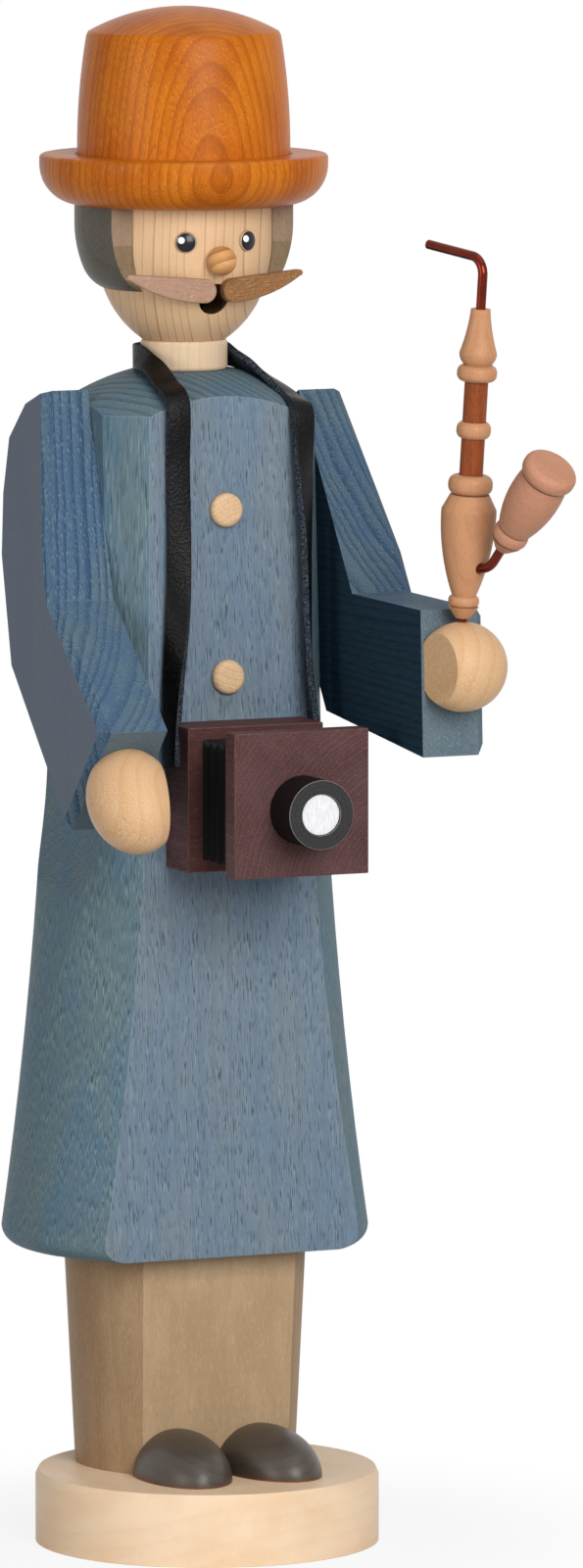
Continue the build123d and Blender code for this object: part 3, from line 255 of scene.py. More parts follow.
            tubes = add(tree, "ShaderNodeTexNoise", {"Vector": tubes.outputs[0], "Scale": 1.0,
                                                     "Detail": 1.5})
            tubes = add(tree, "ShaderNodeMapRange", {"Value": tubes.outputs["Fac"],
                                                     "From Min": 0.59, "From Max": 0.64})
            tubes = add(tree, "ShaderNodeMath", {0: tubes.outputs[0], 1: keep.outputs[0]},
                        operation="MULTIPLY")
            grain = add(tree, "ShaderNodeMix", {"Factor": tubes.outputs[0], 6: grain.outputs[2],
                                                7: colour(tint)}, data_type="RGBA")
            pits.append(tubes)

    # Worn arrises, in spots that follow the fibres, where the eased normal leaves the true one.
    eased = add(tree, "ShaderNodeBevel", {"Radius": soft / 1000}, samples=6)
    if edge:
        bend = add(tree, "ShaderNodeVectorMath", {0: eased.outputs[0], 1: form.outputs["Normal"]},
                   operation="DOT_PRODUCT")
        worn = add(tree, "ShaderNodeMapRange", {"Value": bend.outputs["Value"], "From Min": 0.995,
                                                "From Max": 0.95, "To Min": 0.0, "To Max": 0.75})
        spotty = add(tree, "ShaderNodeMapRange", {"Value": strand.outputs["Fac"],
                                                  "From Min": 0.35, "From Max": 0.6})
        worn = add(tree, "ShaderNodeMath", {0: worn.outputs[0], 1: spotty.outputs[0]},
                   operation="MULTIPLY")
        grain = add(tree, "ShaderNodeMix", {"Factor": worn.outputs[0], 6: grain.outputs[2],
                                            7: colour(edge)}, data_type="RGBA")
    height = add(tree, "ShaderNodeMath", {0: pits[0].outputs[0], 1: -1.2, 2: strand.outputs["Fac"]},
                 operation="MULTIPLY_ADD")
    relief = add(tree, "ShaderNodeBump", {"Height": height.outputs[0], "Strength": 0.7,
                                          "Distance": dents / 1000, "Normal": eased.outputs[0]})
    gloss = add(tree, "ShaderNodeMapRange", {"Value": strand.outputs["Fac"], "From Min": 0.3,
                                             "From Max": 0.7, "To Min": rough - 0.05,
                                             "To Max": rough + 0.08})
    skin = add(tree, "ShaderNodeBsdfPrincipled", {"Base Color": grain.outputs[2], "IOR": 1.5,
                                                  "Roughness": gloss.outputs[0],
                                                  "Specular IOR Level": sheen,
                                                  "Normal": relief.outputs[0]})
    add(tree, "ShaderNodeOutputMaterial", {"Surface": skin.outputs[0]})
    return made


def dressed(node, *finishes, bevel=0.0, worn=None, body="figure", angle=28, cut=None, choose=None):
    """Stands for a CAD node: its own surface, welded and shaded smooth up to an angle. bevel, in
    millimetres, eases the arrises, and worn is the finish that they get; cut is a height where
    faces are split in two; choose gives the number of the finish from a face."""
    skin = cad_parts[node].data.copy()
    skin.name = node + "_surface"
    piece = bpy.data.objects.new(node + "_piece", skin)
    bpy.context.scene.collection.objects.link(piece)
    skin.materials.clear()
    for finish in (*finishes, *([worn] if worn else [])):
        skin.materials.append(finish)
    shape = bmesh.new()
    shape.from_mesh(skin)
    bmesh.ops.remove_doubles(shape, verts=shape.verts, dist=weld_distance)
    if bevel:
        bmesh.ops.dissolve_limit(shape, angle_limit=flat_angle, verts=shape.verts,
                                 edges=shape.edges)
    if cut:
        bmesh.ops.bisect_plane(shape, geom=shape.verts[:] + shape.edges[:] + shape.faces[:],
                               plane_co=(0, 0, cut), plane_no=(0, 0, 1), dist=weld_distance / 10)
    bmesh.ops.recalc_face_normals(shape, faces=shape.faces)
    shape.normal_update()
    for face in shape.faces:
        face.material_index = choose(face) if choose else 0
    shape.to_mesh(skin)
    shape.free()
    if "custom_normal" in skin.attributes:
        skin.attributes.remove(skin.attributes["custom_normal"])
    skin.shade_smooth()
    skin.set_sharp_from_angle(angle=radians(angle))
    if bevel:
        ease = piece.modifiers.new("eased", "BEVEL")
        ease.width = bevel / 1000
        ease.segments = 2
        ease.limit_method = "ANGLE"
        ease.angle_limit = radians(angle)
        ease.harden_normals = True
        ease.material = len(finishes) if worn else -1
    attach(piece, body)
    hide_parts(node)


# Lime under satin lacquer: cream, nearly plain, with a soft shine.
base_lime = wood("lime_lacquered", "#F4D8B8", "#E6C39D", "#D6B08A", ring=6.0, pith=(30, 0, -200),
                 lean=(90, 0, 0), pores=0.12, pore_wide=0.3, pore_long=1.5, rings=0.2,
                 end_rings=0.2, patch="#EECDA9", fibre=0.015)
dressed("base_plate", base_lime, body="stand")

# Zinc-plated steel: grey metal, dulled in patches by its crystals, drawn 1.1 mm wide to show.
crystal_wide = 1.11
zinc, tree = blank_material("steel_zinc_plated")
spot = add(tree, "ShaderNodeTexCoord")
crystal = add(tree, "ShaderNodeTexNoise", {"Vector": spot.outputs["Object"],
                                           "Scale": 1000 / crystal_wide, "Detail": 3.0})
dull = add(tree, "ShaderNodeMapRange", {"Value": crystal.outputs["Fac"], "To Min": 0.25,
                                        "To Max": 0.5})
tone = add(tree, "ShaderNodeMix", {"Factor": crystal.outputs["Fac"], 6: colour("#B9BBBC"),
                                   7: colour("#D2D3D2")}, data_type="RGBA")
skin = add(tree, "ShaderNodeBsdfPrincipled", {"Base Color": tone.outputs[2], "Metallic": 1.0,
                                              "Roughness": dull.outputs[0]})
add(tree, "ShaderNodeOutputMaterial", {"Surface": skin.outputs[0]})
for node in ("base_screw", "burner_dish", "burner_nail"):
    dressed(node, zinc, body="stand")


# Trousers: turned lime, stained grey-brown and planed in front, in one piece with the round
# spigot on top. Screwed down on the base. The planed front is pale and even, and the turned
# sides are painted darker, as shade, and their grain shows more.
squarely = 0.9


def square_to_front(face):
    """1 for a face that was planed or sawn square to the front, 0 for the others: squarely is
    the cosine of the 26 degrees that it may be off."""
    return int(face.normal.y < -squarely)


trouser_lime = wood("lime_stained_grey_brown", "#B99D7C", "#A98F6E", "#94795A", ring=7.0,
                    pith=(-90, -160, 0), pores=0.3, pore_wide=0.3, pore_long=2.2, rings=0.4,
                    pale="#CFB692", patch="#AA8F6E", fibre=0.03, edge="#C8AE8A", rough=0.5,
                    sheen=0.15)
# The turned sides: the front's stain, painted darker as shade.
trouser_side_shaded = wood("lime_stained_brown_round_shaded", "#A78A6A", "#977B5C", "#846849", ring=7.0,
                     pith=(-90, -160, 0), pores=0.35, pore_wide=0.3, pore_long=2.2, rings=0.5,
                     pale="#C0A580", patch="#98795A", fibre=0.05, edge="#C8AE8A", rough=0.5,
                     sheen=0.15)
dressed("trousers", trouser_side_shaded, trouser_lime, body="stand", angle=14, choose=square_to_front)

# Shoes: a turned egg cut in half lengthwise, stained black and glued to the base. The stain is
# thin, so they are brown-black with a satin shine, and it ends just above the cut, where a line
# of brown wood shows.
line_high = 0.0004
stain_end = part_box("shoe_right")[0].z + line_high
shoe_black = wood("beech_stained_black", "#473E36", "#3C342D", "#5A5147", ring=3.0,
                  pith=(0, 0, 60), lean=(90, 0, 0), pores=0.4, pore_wide=0.3, pore_long=2.0,
                  rough=0.36, fibre=0.05, rings=0.5, sheen=0.4)
shoe_line = wood("beech_brown_line", "#84492A", "#744023", "#66381F", ring=3.0, lean=(90, 0, 0))
for node in ("shoe_right", "shoe_left"):
    dressed(node, shoe_black, shoe_line, body="stand", cut=stain_end,
            choose=lambda face: int(face.calc_center_median().z < stain_end))

# Coat: turned from one block of ash, bored from below, planed in front and at both sides, then
# stained blue. The pores show as short dark and pale strokes, and the stain is thin on arrises.
# The front is a matt grey-blue, and the turned sides are greener, and painted darker as shade.
coat_front = wood("ash_front_stained_blue", "#75838E", "#65737F", "#2B3945", ring=3.4,
                  pith=(140, 90, 0), wobble=1.5, late_share=0.5, rings=0.35, end_rings=0.85,
                  pores=0.72, pore_wide=0.33, pore_long=5.0, porous=0.35, pale="#8799A0",
                  patch="#6C7F92", fibre=0.035, edge="#9DABB1", rough=0.55, sheen=0.1, dents=0.06)
# The turned sides: greener, and painted darker as shade.
coat_side_shaded = wood("ash_round_stained_blue_shaded", "#667A80", "#3C5468", "#2E3D48", ring=3.0,
                  pith=(140, 90, 0), wobble=1.5, late_share=0.5, rings=0.13, end_rings=0.9,
                  pores=0.75, pore_wide=0.33, pore_long=9.0, porous=0.35, pale="#889B9E",
                  patch="#5B7788", fibre=0.085, edge="#9DABB1", rough=0.55, sheen=0.1, dents=0.06)


def planed_front(face):
    """1 for the planed front, 0 for the turned sides, the dome and the rounded hem."""
    return int(square_to_front(face) and abs(face.normal.z) < 0.2)


dressed("coat", coat_side_shaded, coat_front, choose=planed_front)

# Neck: a short maple ring on a bored dowel, glued between coat and head. Maple under clear
# lacquer is near white, with hardly any grain.
neck_maple = wood("maple_neck", "#E0C5A6", "#D3B694", "#CDB189", ring=3.0, pith=(60, -80, 0),
                  pores=0.25, rings=0.6, fibre=0.03)
dressed("neck_collar", neck_maple)
dressed("neck_tube", neck_maple)

# Head: turned pine, bored for the smoke and glued on the neck. Under clear lacquer the pine is
# warm cream with fine upright brown year lines; the walls of the mouth and the bore are darker
# brown.
head_pine = wood("pine_lacquered", "#E0BB93", "#AE8156", "#CDA77C", ring=2.8, pith=(-88, 60, 380),
                 lean=(0, 3, 0), wobble=0.9, late_share=0.1, rings=0.68, pores=0.25,
                 pore_wide=0.3, pore_long=5.0, fibre=0.03, rough=0.4)
mouth_dark = wood("pine_dark_inside", "#6E4F37", "#5C4230", "#4A3526", ring=3.0, pith=(-88, 60, 380),
                  rough=0.6)
collar_low, collar_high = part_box("neck_collar")
figure_axis = (collar_low.y + collar_high.y) / 2
mouth_low, mouth_high = 0.358, 0.372


def inside_head(face):
    """1 for the walls of the smoke bore and of the mouth hole, 0 for the head's outside: those
    walls face the axis, or at the mouth's height at least don't face away from it."""
    middle = face.calc_center_median()
    away = Vector((middle.x, middle.y - figure_axis)).normalized()
    outwards = face.normal.x * away.x + face.normal.y * away.y
    return int(outwards < -0.5 or (outwards < 0.35 and mouth_low < middle.z < mouth_high))


dressed("head", head_pine, mouth_dark, choose=inside_head)

# Eyes: small turned beads, sunk and glued, turned a little to each side. Gloss lacquer makes
# them black with a hard shine; a white dot is painted on, and a pale ring is drawn at the bead's
# rim.
eye_turn = 21.75

# In metres: the shifts from the bead's middle, and the edges, as distances from a line through
# the dot or the bead that points where the eye looks.
dot_shift, bead_shift = (-0.0014, 0.0, 0.0007), (0.0, 0.0, 0.0)
dot_edge, rim_edge = (0.00105, 0.0009), (0.00272, 0.00285)
eye_black, tree = blank_material("lacquer_eye_black")
spot = add(tree, "ShaderNodeTexCoord")
away = []
for shift in (dot_shift, bead_shift):
    reach = []
    for node, turn in (("eye_right", -radians(eye_turn)), ("eye_left", radians(eye_turn))):
        low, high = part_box(node)
        centre = (low + high) / 2 + Vector(shift)
        apart = add(tree, "ShaderNodeVectorMath", {0: spot.outputs["Object"], 1: tuple(centre)},
                    operation="SUBTRACT")
        apart = add(tree, "ShaderNodeVectorMath", {0: apart.outputs[0],
                                                   1: (sin(turn), -cos(turn), 0.0)},
                    operation="CROSS_PRODUCT")
        reach.append(add(tree, "ShaderNodeVectorMath", {0: apart.outputs[0]}, operation="LENGTH"))
    away.append(add(tree, "ShaderNodeMath", {0: reach[0].outputs["Value"],
                                             1: reach[1].outputs["Value"]}, operation="MINIMUM"))
dot, rim = (add(tree, "ShaderNodeMapRange", {"Value": distance.outputs[0], "From Min": starts,
                                             "From Max": ends})
            for distance, (starts, ends) in zip(away, (dot_edge, rim_edge)))
tone = add(tree, "ShaderNodeMix", {"Factor": dot.outputs[0], 6: colour("#131217"),
                                   7: colour("#F8F8F8")}, data_type="RGBA")
tone = add(tree, "ShaderNodeMix", {"Factor": rim.outputs[0], 6: tone.outputs[2],
                                   7: colour("#CDB08A")}, data_type="RGBA")
skin = add(tree, "ShaderNodeBsdfPrincipled", {"Base Color": tone.outputs[2], "Roughness": 0.2,
                                              "IOR": 1.5, "Specular IOR Level": 0.3})
add(tree, "ShaderNodeOutputMaterial", {"Surface": skin.outputs[0]})
dressed("eye_right", eye_black)
dressed("eye_left", eye_black)

# Nose: a turned cherry ball on a peg, hollowed where it sits on the head. Lacquered cherry is
# orange-brown, and its few broad year bands cross the ball.
nose_cherry = wood("cherry_nose", "#DBA76F", "#B1703A", "#BC854A", ring=2.8, pith=(-6, 6, 385),
                   lean=(60, 20, 0), pores=0.3, rings=0.8, wobble=0.8, late_share=0.6)
dressed("nose", nose_cherry)

# Moustache: two flat leaves, sawn, sanded and glued under the nose. One is reddish beech with
# fine flecks, the other browner walnut with open pores, and both are pale on their arrises.
moustache_beech = wood("beech_reddish", "#AC8770", "#9C7761", "#83604D", ring=3.0,
                       pith=(-15, 60, 340), lean=(0, 82, 0), pores=0.5, pore_wide=0.24,
                       pore_long=1.6, pale="#CDB09A", rings=0.4, edge="#C8A890")
moustache_walnut = wood("walnut_pale", "#936842", "#7D532D", "#64401F", ring=3.0,
                        pith=(15, 60, 340), lean=(0, 100, 0), pores=0.7, pore_wide=0.28,
                        pore_long=2.5, pale="#BA936A", rings=0.5, edge="#B58C60")
dressed("moustache_right", moustache_beech, bevel=0.15)
dressed("moustache_left", moustache_walnut, bevel=0.15)

# Hair: a turned shell, stained grey outside, cut off flat in front. There the paler bare wood
# shows, matt from the saw, and it is darker below a set height.
hair_darker_below = 0.3806
hair_grey = wood("beech_stained_grey", "#5A544B", "#4B453D", "#757067", ring=3.0,
                 pith=(40, 40, 0), pores=0.4, pore_long=1.6, rings=0.5, fibre=0.04,
                 edge="#8A8478", sheen=0.15)
hair_cut = wood("beech_cut_pale", "#98816B", "#89735D", "#73604D", ring=3.0, pith=(40, 40, 0),
                pores=0.5, pore_wide=0.3, pore_long=1.2, rings=0.4, rough=0.6, sheen=0.1)
hair_low = wood("beech_cut_dark", "#87735A", "#78654E", "#62523D", ring=3.0, pith=(40, 40, 0),
                pores=0.5, pore_wide=0.3, pore_long=1.2, rings=0.4, rough=0.6, sheen=0.1)


def hair_side(face):
    """0 outside, 1 and 2 on the cut front above and below the height where it turns darker."""
    if face.normal.y > -0.99:
        return 0
    return 1 if face.calc_center_median().z > hair_darker_below else 2


dressed("hair", hair_grey, hair_cut, hair_low, cut=hair_darker_below, choose=hair_side)

# Hat: crown and curled brim turned in one piece from ash, stained orange under satin lacquer.
# The pith lay a little in front of it, so the year rings stand on the crown as nested arches
# and hang on the brim.
hat_ash = wood("ash_stained_orange", "#CC7318", "#8E3E02", "#863F06", ring=2.7,
               pith=(-7.2, -38, 420), lean=(8, 0, 0), wobble=2.0, late_share=0.45, rings=0.5,
               end_rings=0.5, pores=0.55, pore_wide=0.28, pore_long=6.0, porous=0.5,
               pale="#D48A3A", patch="#B55C0C", fibre=0.08, rough=0.34, sheen=0.12)
dressed("hat", hat_ash)

# Buttons: domed beech discs on pegs, under clear lacquer. The grain runs front to back, so the
# year rings cross the domes as fine arcs. The hidden dowels are of the same beech.
beech = wood("beech_lacquered", "#DDBB94", "#BF9A70", "#B0855A", ring=1.4, pith=(9, 0, 284),
             lean=(90, 0, 0), pores=0.6, pore_wide=0.35, pore_long=1.3, rings=0.5, end_rings=0.5,
             wobble=1.6, late_share=0.3, soft=0.9, edge="#C09A70")
for node in ("button_upper", "button_lower", "arm_dowels", "hand_dowels", "camera_dowel"):
    dressed(node, beech)

# Arms: sawn from ash board, sanded, stained blue and glued to the planed sides over a dowel.
# The year rings stand as wavy stripes in the sawn edges; the board faces are plain, the outer
# one greyer, the inner one, facing the body, painted dark as its shade, and the stain is rubbed
# off the arrises.
cuff_front = -0.076
arm_cuff = wood("ash_cuff_blue_grey", "#62727B", "#546470", "#42525D", ring=4.0,
                pith=(0, -300, 250), pores=0.6, pore_wide=0.3, pore_long=0.8, rings=0.3,
                end_rings=0.3, pale="#8494A0", rough=0.6, sheen=0.08)
arm_worn = wood("ash_arris_worn", "#94A5AD", "#7B9098", "#5C7080", ring=1.5, pith=(0, 30, 250),
                pores=0.6, pore_wide=0.5, pore_long=2.0, fibre=0.1, rough=0.6, sheen=0.08)
for node, side in (("arm_right", -1), ("arm_left", 1)):
    arm_edge = wood("ash_edge_blue_" + node, "#5C717D", "#314B66", "#273D50", ring=2.9,
                    pith=(side * 130, 30, 250), wobble=2.6, late_share=0.5, rings=1.0,
                    end_rings=0.4, pores=0.4, pore_wide=0.5, pore_long=12.0, pale="#7C9399",
                    patch="#4E6680", fibre=0.09, rough=0.6, sheen=0.08)
    arm_outer = wood("ash_face_grey_" + node, "#6E7784", "#646F7E", "#5A6474", ring=9.0,
                     pith=(side * 160, 30, 250), rings=0.25, pores=0.35, pore_wide=0.3,
                     pore_long=2.0, pale="#828B95", fibre=0.02, rough=0.6, sheen=0.06)
    # The inner face is painted dark, as the shade between arm and body.
    arm_inner_shaded = wood("ash_face_painted_shade_" + node, "#263A48", "#182936", "#121F29", ring=2.4,
                     pith=(side * 43, 30, 60), lean=(90, 0, 0), rings=0.6, end_rings=0.6,
                     wobble=2.2, pores=0.4, pore_wide=0.5, pore_long=6.0, fibre=0.05, rough=0.6,
                     sheen=0.03)

    def board_side(face):
        """0 for a sawn edge, 1 and 2 for the outer and inner board face, 3 for the cuff."""
        out = face.normal.x * side
        if abs(out) > squarely:
            return 1 if out > 0 else 2
        sloping = face.normal.y < -0.5 and face.normal.z < -0.5
        return 3 if sloping or face.calc_center_median().y < cuff_front else 0

    dressed(node, arm_edge, arm_outer, arm_inner_shaded, arm_cuff, bevel=0.35, worn=arm_worn,
            choose=board_side)

# Hands: turned beech eggs with a flat, glued on the cuffs. Clear lacquer turns the beech warm
# yellow, with a broad soft shine and short pale flecks.
hand_beech = wood("beech_hand", "#D9B086", "#CA9D6C", "#AE8252", ring=5.0, pith=(-30, -60, 230),
                  lean=(35, 15, 0), pores=0.5, pore_wide=0.3, pore_long=1.8, rings=0.45,
                  end_rings=0.5, fibre=0.04, rough=0.36, pale="#EBCBA2")
dressed("hand_right", hand_beech, bevel=0.2)
dressed("hand_left", hand_beech, bevel=0.2)

# Camera: a box and a lens board of beech, stained dark red-brown, with card bellows between,
# glued together and held on the coat by a dowel. The stain is matt, curved flecks of the beech
# show through it, and it is thinner on the arrises.
camera_beech = wood("beech_stained_red_brown", "#563C3D", "#735450", "#8A645C", ring=1.5,
                    pith=(48, 0, 188), lean=(90, 0, 0), pores=0.4, pore_wide=0.4, pore_long=2.0,
                    rings=0.3, end_rings=0.4, wobble=1.2, late_share=0.2, fibre=0.07,
                    patch="#4B3232", rough=0.5, sheen=0.1)
box_beech = wood("beech_stained_dark_red", "#523431", "#432A27", "#704B46", ring=4.0,
                 pith=(30, 20, 120), lean=(0, 92, 0), pores=0.5, pore_wide=0.3, pore_long=2.0,
                 rings=0.4, fibre=0.05, rough=0.5, sheen=0.08)
arris_beech = wood("beech_arris_worn", "#644744", "#523936", "#7A5A55", ring=2.0, pores=0.5,
                   rough=0.5, sheen=0.12)
dressed("camera_back", camera_beech, box_beech, bevel=0.3, worn=arris_beech,
        choose=lambda face: int(square_to_front(face) or face.normal.z > squarely))
dressed("camera_front", camera_beech, bevel=0.3, worn=arris_beech)

# Embossed card: deep black, with a dim broken shine from its grain, drawn 0.67 mm wide to show.
card_grain = 0.667
card_black, tree = blank_material("card_leathered_black")
spot = add(tree, "ShaderNodeTexCoord")
grainy = add(tree, "ShaderNodeTexNoise", {"Vector": spot.outputs["Object"],
                                          "Scale": 1000 / card_grain, "Detail": 3.0})
tone = add(tree, "ShaderNodeMix", {"Factor": grainy.outputs["Fac"], 6: colour("#040303"),
                                   7: colour("#161414")}, data_type="RGBA")
relief = add(tree, "ShaderNodeBump", {"Height": grainy.outputs["Fac"], "Strength": 0.5,
                                      "Distance": 0.0001})
skin = add(tree, "ShaderNodeBsdfPrincipled", {"Base Color": tone.outputs[2], "Roughness": 0.45,
                                              "IOR": 1.5, "Specular IOR Level": 0.08,
                                              "Normal": relief.outputs[0]})
add(tree, "ShaderNodeOutputMaterial", {"Surface": skin.outputs[0]})


def surface(name, rings, finishes, node, index=None, angle=50):
    """A closed skin over rings of points in millimetres: quads join each ring to the next, and
    one face closes each end. index gives the finish of each strip along the rings."""
    count, around = rings.shape[:2]
    step, turn = np.meshgrid(np.arange(count - 1), np.arange(around), indexing="ij")
    beside = (turn + 1) % around
    quads = np.stack([step * around + turn, step * around + beside, (step + 1) * around + beside,
                      (step + 1) * around + turn], -1).reshape(-1, 4)
    ends = [list(range(around))[::-1], list(range((count - 1) * around, count * around))]
    skin = bpy.data.meshes.new(name)
    skin.from_pydata((rings.reshape(-1, 3) / 1000).tolist(), [], quads.tolist() + ends)
    for finish in finishes:
        skin.materials.append(finish)
    if index is not None:
        skin.polygons.foreach_set("material_index", [*np.tile(index, count - 1).tolist(), 0, 0])
    shape = bmesh.new()
    shape.from_mesh(skin)
    bmesh.ops.recalc_face_normals(shape, faces=shape.faces)
    shape.to_mesh(skin)
    shape.free()
    skin.shade_smooth()
    skin.set_sharp_from_angle(angle=radians(angle))
    piece = bpy.data.objects.new(name, skin)
    bpy.context.scene.collection.objects.link(piece)
    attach(piece, "figure")
    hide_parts(node)


# The pleats' depth and the radius of the corners, where the bellows are wide and where they are
# narrow, are in millimetres, and fold_flat is a share of half a pleat.
pleats, pleat_deep = 5, 3.2
fold_flat, corner_steps = 0.08, 6
corner_wide, corner_narrow = 0.7, 3.3


def folded_bellows(low, high):
    """Rounded rectangles one behind the other. The size goes from full to pleat_deep less on
    each side and back, a triangle wave with its turns flattened over the share fold_flat, and
    the corners are rounder where it is narrow, as folded card is."""
    fold = np.arange(2 * pleats)[:, None] + np.array([0.0, fold_flat, 0.5, 1 - fold_flat])
    fold = np.append(fold.ravel(), 2 * pleats)
    wave = np.abs((fold + 1) % 2 - 1)
    narrow = np.clip((wave - fold_flat) / (1 - 2 * fold_flat), 0, 1)[:, None]
    quarter = np.repeat(np.arange(4), corner_steps) * pi / 2
    corner = quarter + np.tile(np.linspace(0, pi / 2, corner_steps), 4)
    sign_x = np.repeat([1, -1, -1, 1], corner_steps)
    sign_z = np.repeat([1, 1, -1, -1], corner_steps)
    middle, half = (low + high) / 2, (high - low) / 2
    bend = corner_wide + (corner_narrow - corner_wide) * narrow
    x = middle[0] + sign_x * (half[0] - pleat_deep * narrow - bend) + bend * np.cos(corner)
    z = middle[2] + sign_z * (half[2] - pleat_deep * narrow - bend) + bend * np.sin(corner)
    y = high[1] + (low[1] - high[1]) * fold[:, None] / (2 * pleats) + 0 * x
    return np.stack([x, y, z], -1)


low, high = (np.array(corner) * 1000 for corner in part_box("camera_bellows"))
surface("bellows", folded_bellows(low, high), (card_black,), "camera_bellows", angle=40)

# Lens: a turned beech barrel, painted black, with a silver foil disc sunk in its front. The
# paint is brown-black on the round side, where it is also painted darker as shade, greyer on the
# end grain of the front ring, where fine year rings show, and rubbed to grey at the ring's edges.
lens_ring = wood("beech_lacquered_black", "#343334", "#262526", "#525051", ring=1.3,
                 pith=(1.4, 0, 222.35), lean=(90, 0, 0), pores=0.4, rough=0.45, rings=0.5,
                 end_rings=0.6, wobble=0.2, sheen=0.12)
# The round side: brown-black paint, painted darker still as shade.
lens_side_shaded = wood("beech_brown_black_shaded_side", "#181212", "#120E0E", "#221A1A", ring=3.0,
                 pith=(40, 0, 235), rough=0.5, sheen=0.05)
lens_rim = wood("beech_black_worn_edge", "#7A7673", "#565250", "#4A4747", ring=1.0, pores=0.5,
                rough=0.5)
dressed("lens_barrel", lens_side_shaded, lens_ring, bevel=0.18, worn=lens_rim, choose=square_to_front)

# Brushed silver foil: near white, with creases about 0.5 mm apart and 3 mm long that break up
# its shine. The pattern is given per metre.
foil_creases = (1900.0, 300.0, 420.0)
foil, tree = blank_material("foil_silver_brushed")
spot = add(tree, "ShaderNodeTexCoord")
rubbed = add(tree, "ShaderNodeMapping", {"Vector": spot.outputs["Object"],
                                         "Rotation": (0.0, 0.7, 0.0), "Scale": foil_creases})
crease = add(tree, "ShaderNodeTexNoise", {"Vector": rubbed.outputs[0], "Scale": 1.0,
                                          "Detail": 3.0})
tone = add(tree, "ShaderNodeMix", {"Factor": crease.outputs["Fac"], 6: colour("#BCBCC0"),
                                   7: colour("#FAFAFA")}, data_type="RGBA")
relief = add(tree, "ShaderNodeBump", {"Height": crease.outputs["Fac"], "Strength": 0.5,
                                      "Distance": 0.0003})
skin = add(tree, "ShaderNodeBsdfPrincipled", {"Base Color": tone.outputs[2], "Metallic": 0.35,
                                              "Roughness": 0.4, "Normal": relief.outputs[0]})
add(tree, "ShaderNodeOutputMaterial", {"Surface": skin.outputs[0]})
dressed("lens_disc", foil)


# Strap: a flat band of thick black leather, smooth outside, rough inside and at its cut edges.
# It stands on edge round the neck, lies on the chest and is glued to the camera's two sides.
def hide(name, low, high, size, dent, rough, sheen):
    """Leather as cells of that size in millimetres, darker in the creases between them, with
    finer fuzz over them."""
    made, tree = blank_material(name)
    spot = add(tree, "ShaderNodeTexCoord")
    cells = add(tree, "ShaderNodeTexVoronoi", {"Vector": spot.outputs["Object"],
                                               "Scale": 1000 / size})
    fuzz = add(tree, "ShaderNodeTexNoise", {"Vector": spot.outputs["Object"], "Scale": 700 / size,
                                            "Detail": 4.0})
    both = add(tree, "ShaderNodeMath", {0: cells.outputs["Distance"], 1: fuzz.outputs["Fac"]},
               operation="MULTIPLY")
    tone = add(tree, "ShaderNodeMapRange", {"Value": both.outputs[0], "From Min": 0.1,
                                            "From Max": 0.4})
    tone = add(tree, "ShaderNodeMix", {"Factor": tone.outputs[0], 6: colour(low),
                                       7: colour(high)}, data_type="RGBA")
    relief = add(tree, "ShaderNodeBump", {"Height": both.outputs[0], "Strength": 0.8,
                                          "Distance": dent / 1000})
    skin = add(tree, "ShaderNodeBsdfPrincipled", {"Base Color": tone.outputs[2], "IOR": 1.5,
                                                  "Roughness": rough, "Specular IOR Level": sheen,
                                                  "Normal": relief.outputs[0]})
    add(tree, "ShaderNodeOutputMaterial", {"Surface": skin.outputs[0]})
    return made


# The grain side has a dim shine, and the flesh side is matt and catches pale light in its fuzz.
# Both grains are drawn coarser than real ones, which are too fine to show.
smooth_hide = hide("leather_smooth_black", "#0A0909", "#171515", size=0.8, dent=0.3, rough=0.38,
                   sheen=0.1)
rough_hide = hide("leather_flesh_side_black", "#07090C", "#464E59", size=0.5, dent=0.3, rough=0.8,
                  sheen=0.05)

# The band in millimetres, and the wood that it lies on: the collar, the low dome that ends at
# the shoulder's edge, and the front that is planed at a slope from the hem to the shoulder.
half_wide, half_thick, strap_gap, edge_radius = 3.5, 1.0, 0.3, 0.35
edge_points, smooth_ends = 4, 0.85
clear = strap_gap + half_thick
collar_radius, axis_y = 12.7, figure_axis * 1000
hem, coat_top = (corner.z * 1000 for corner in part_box("coat"))
coat_tall = 245.7
shoulder = hem + coat_tall
front_at_hem, front_slope = 36.0, 6.1
front_at_shoulder = front_at_hem - front_slope
dome_radius, dome_reach, dome_rise, dome_bulge = 38.0, 22.8, 11.1, 4.8
box_low, box_high = (np.array(corner) * 1000 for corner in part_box("camera_back"))

# The route, given for the figure's right (-1) and left (1): its stations in degrees
# from behind the neck, its lean inwards and up beside the neck, and how far from the middle it
# lies on the chest. Then come its tilt in degrees and its lift in three places on the dome, its
# bend over the shoulder's edge, and its turn in degrees at each drop below that. From
# turns_over on it moves to the camera's side, where its middle is glued_forward of the box's
# back.
neck_turns = (18, 36, 54, 72)
neck_lean = {-1: (0.17, 0.9), 1: (0.3, 0.9)}
chest_reach = {-1: 15.4, 1: 23.6}
off_collar, collar_share, edge_share = 1.2, 0.55, 0.74
bend_out, bend_down, bend_lean = 0.7, 0.6, 0.15
turns_over, glued_forward = 60, 8.0
dome_tilts = {-1: ((40, 0.4), (16, 1.2), (16, 1.1)), 1: ((53, -0.8), (37, -0.5), (21, 0.0))}
chest_turns = {-1: ((14, 3), (30, 8), (46, 22), (58, 40), (68, 54), (78, 67), (87, 78), (94, 86),
                    (100.7, 90)),
               1: ((14, 28), (24, 40), (34, 52), (46, 58), (59, 62), (70, 67), (81, 75), (91, 85),
                   (100.7, 90))}


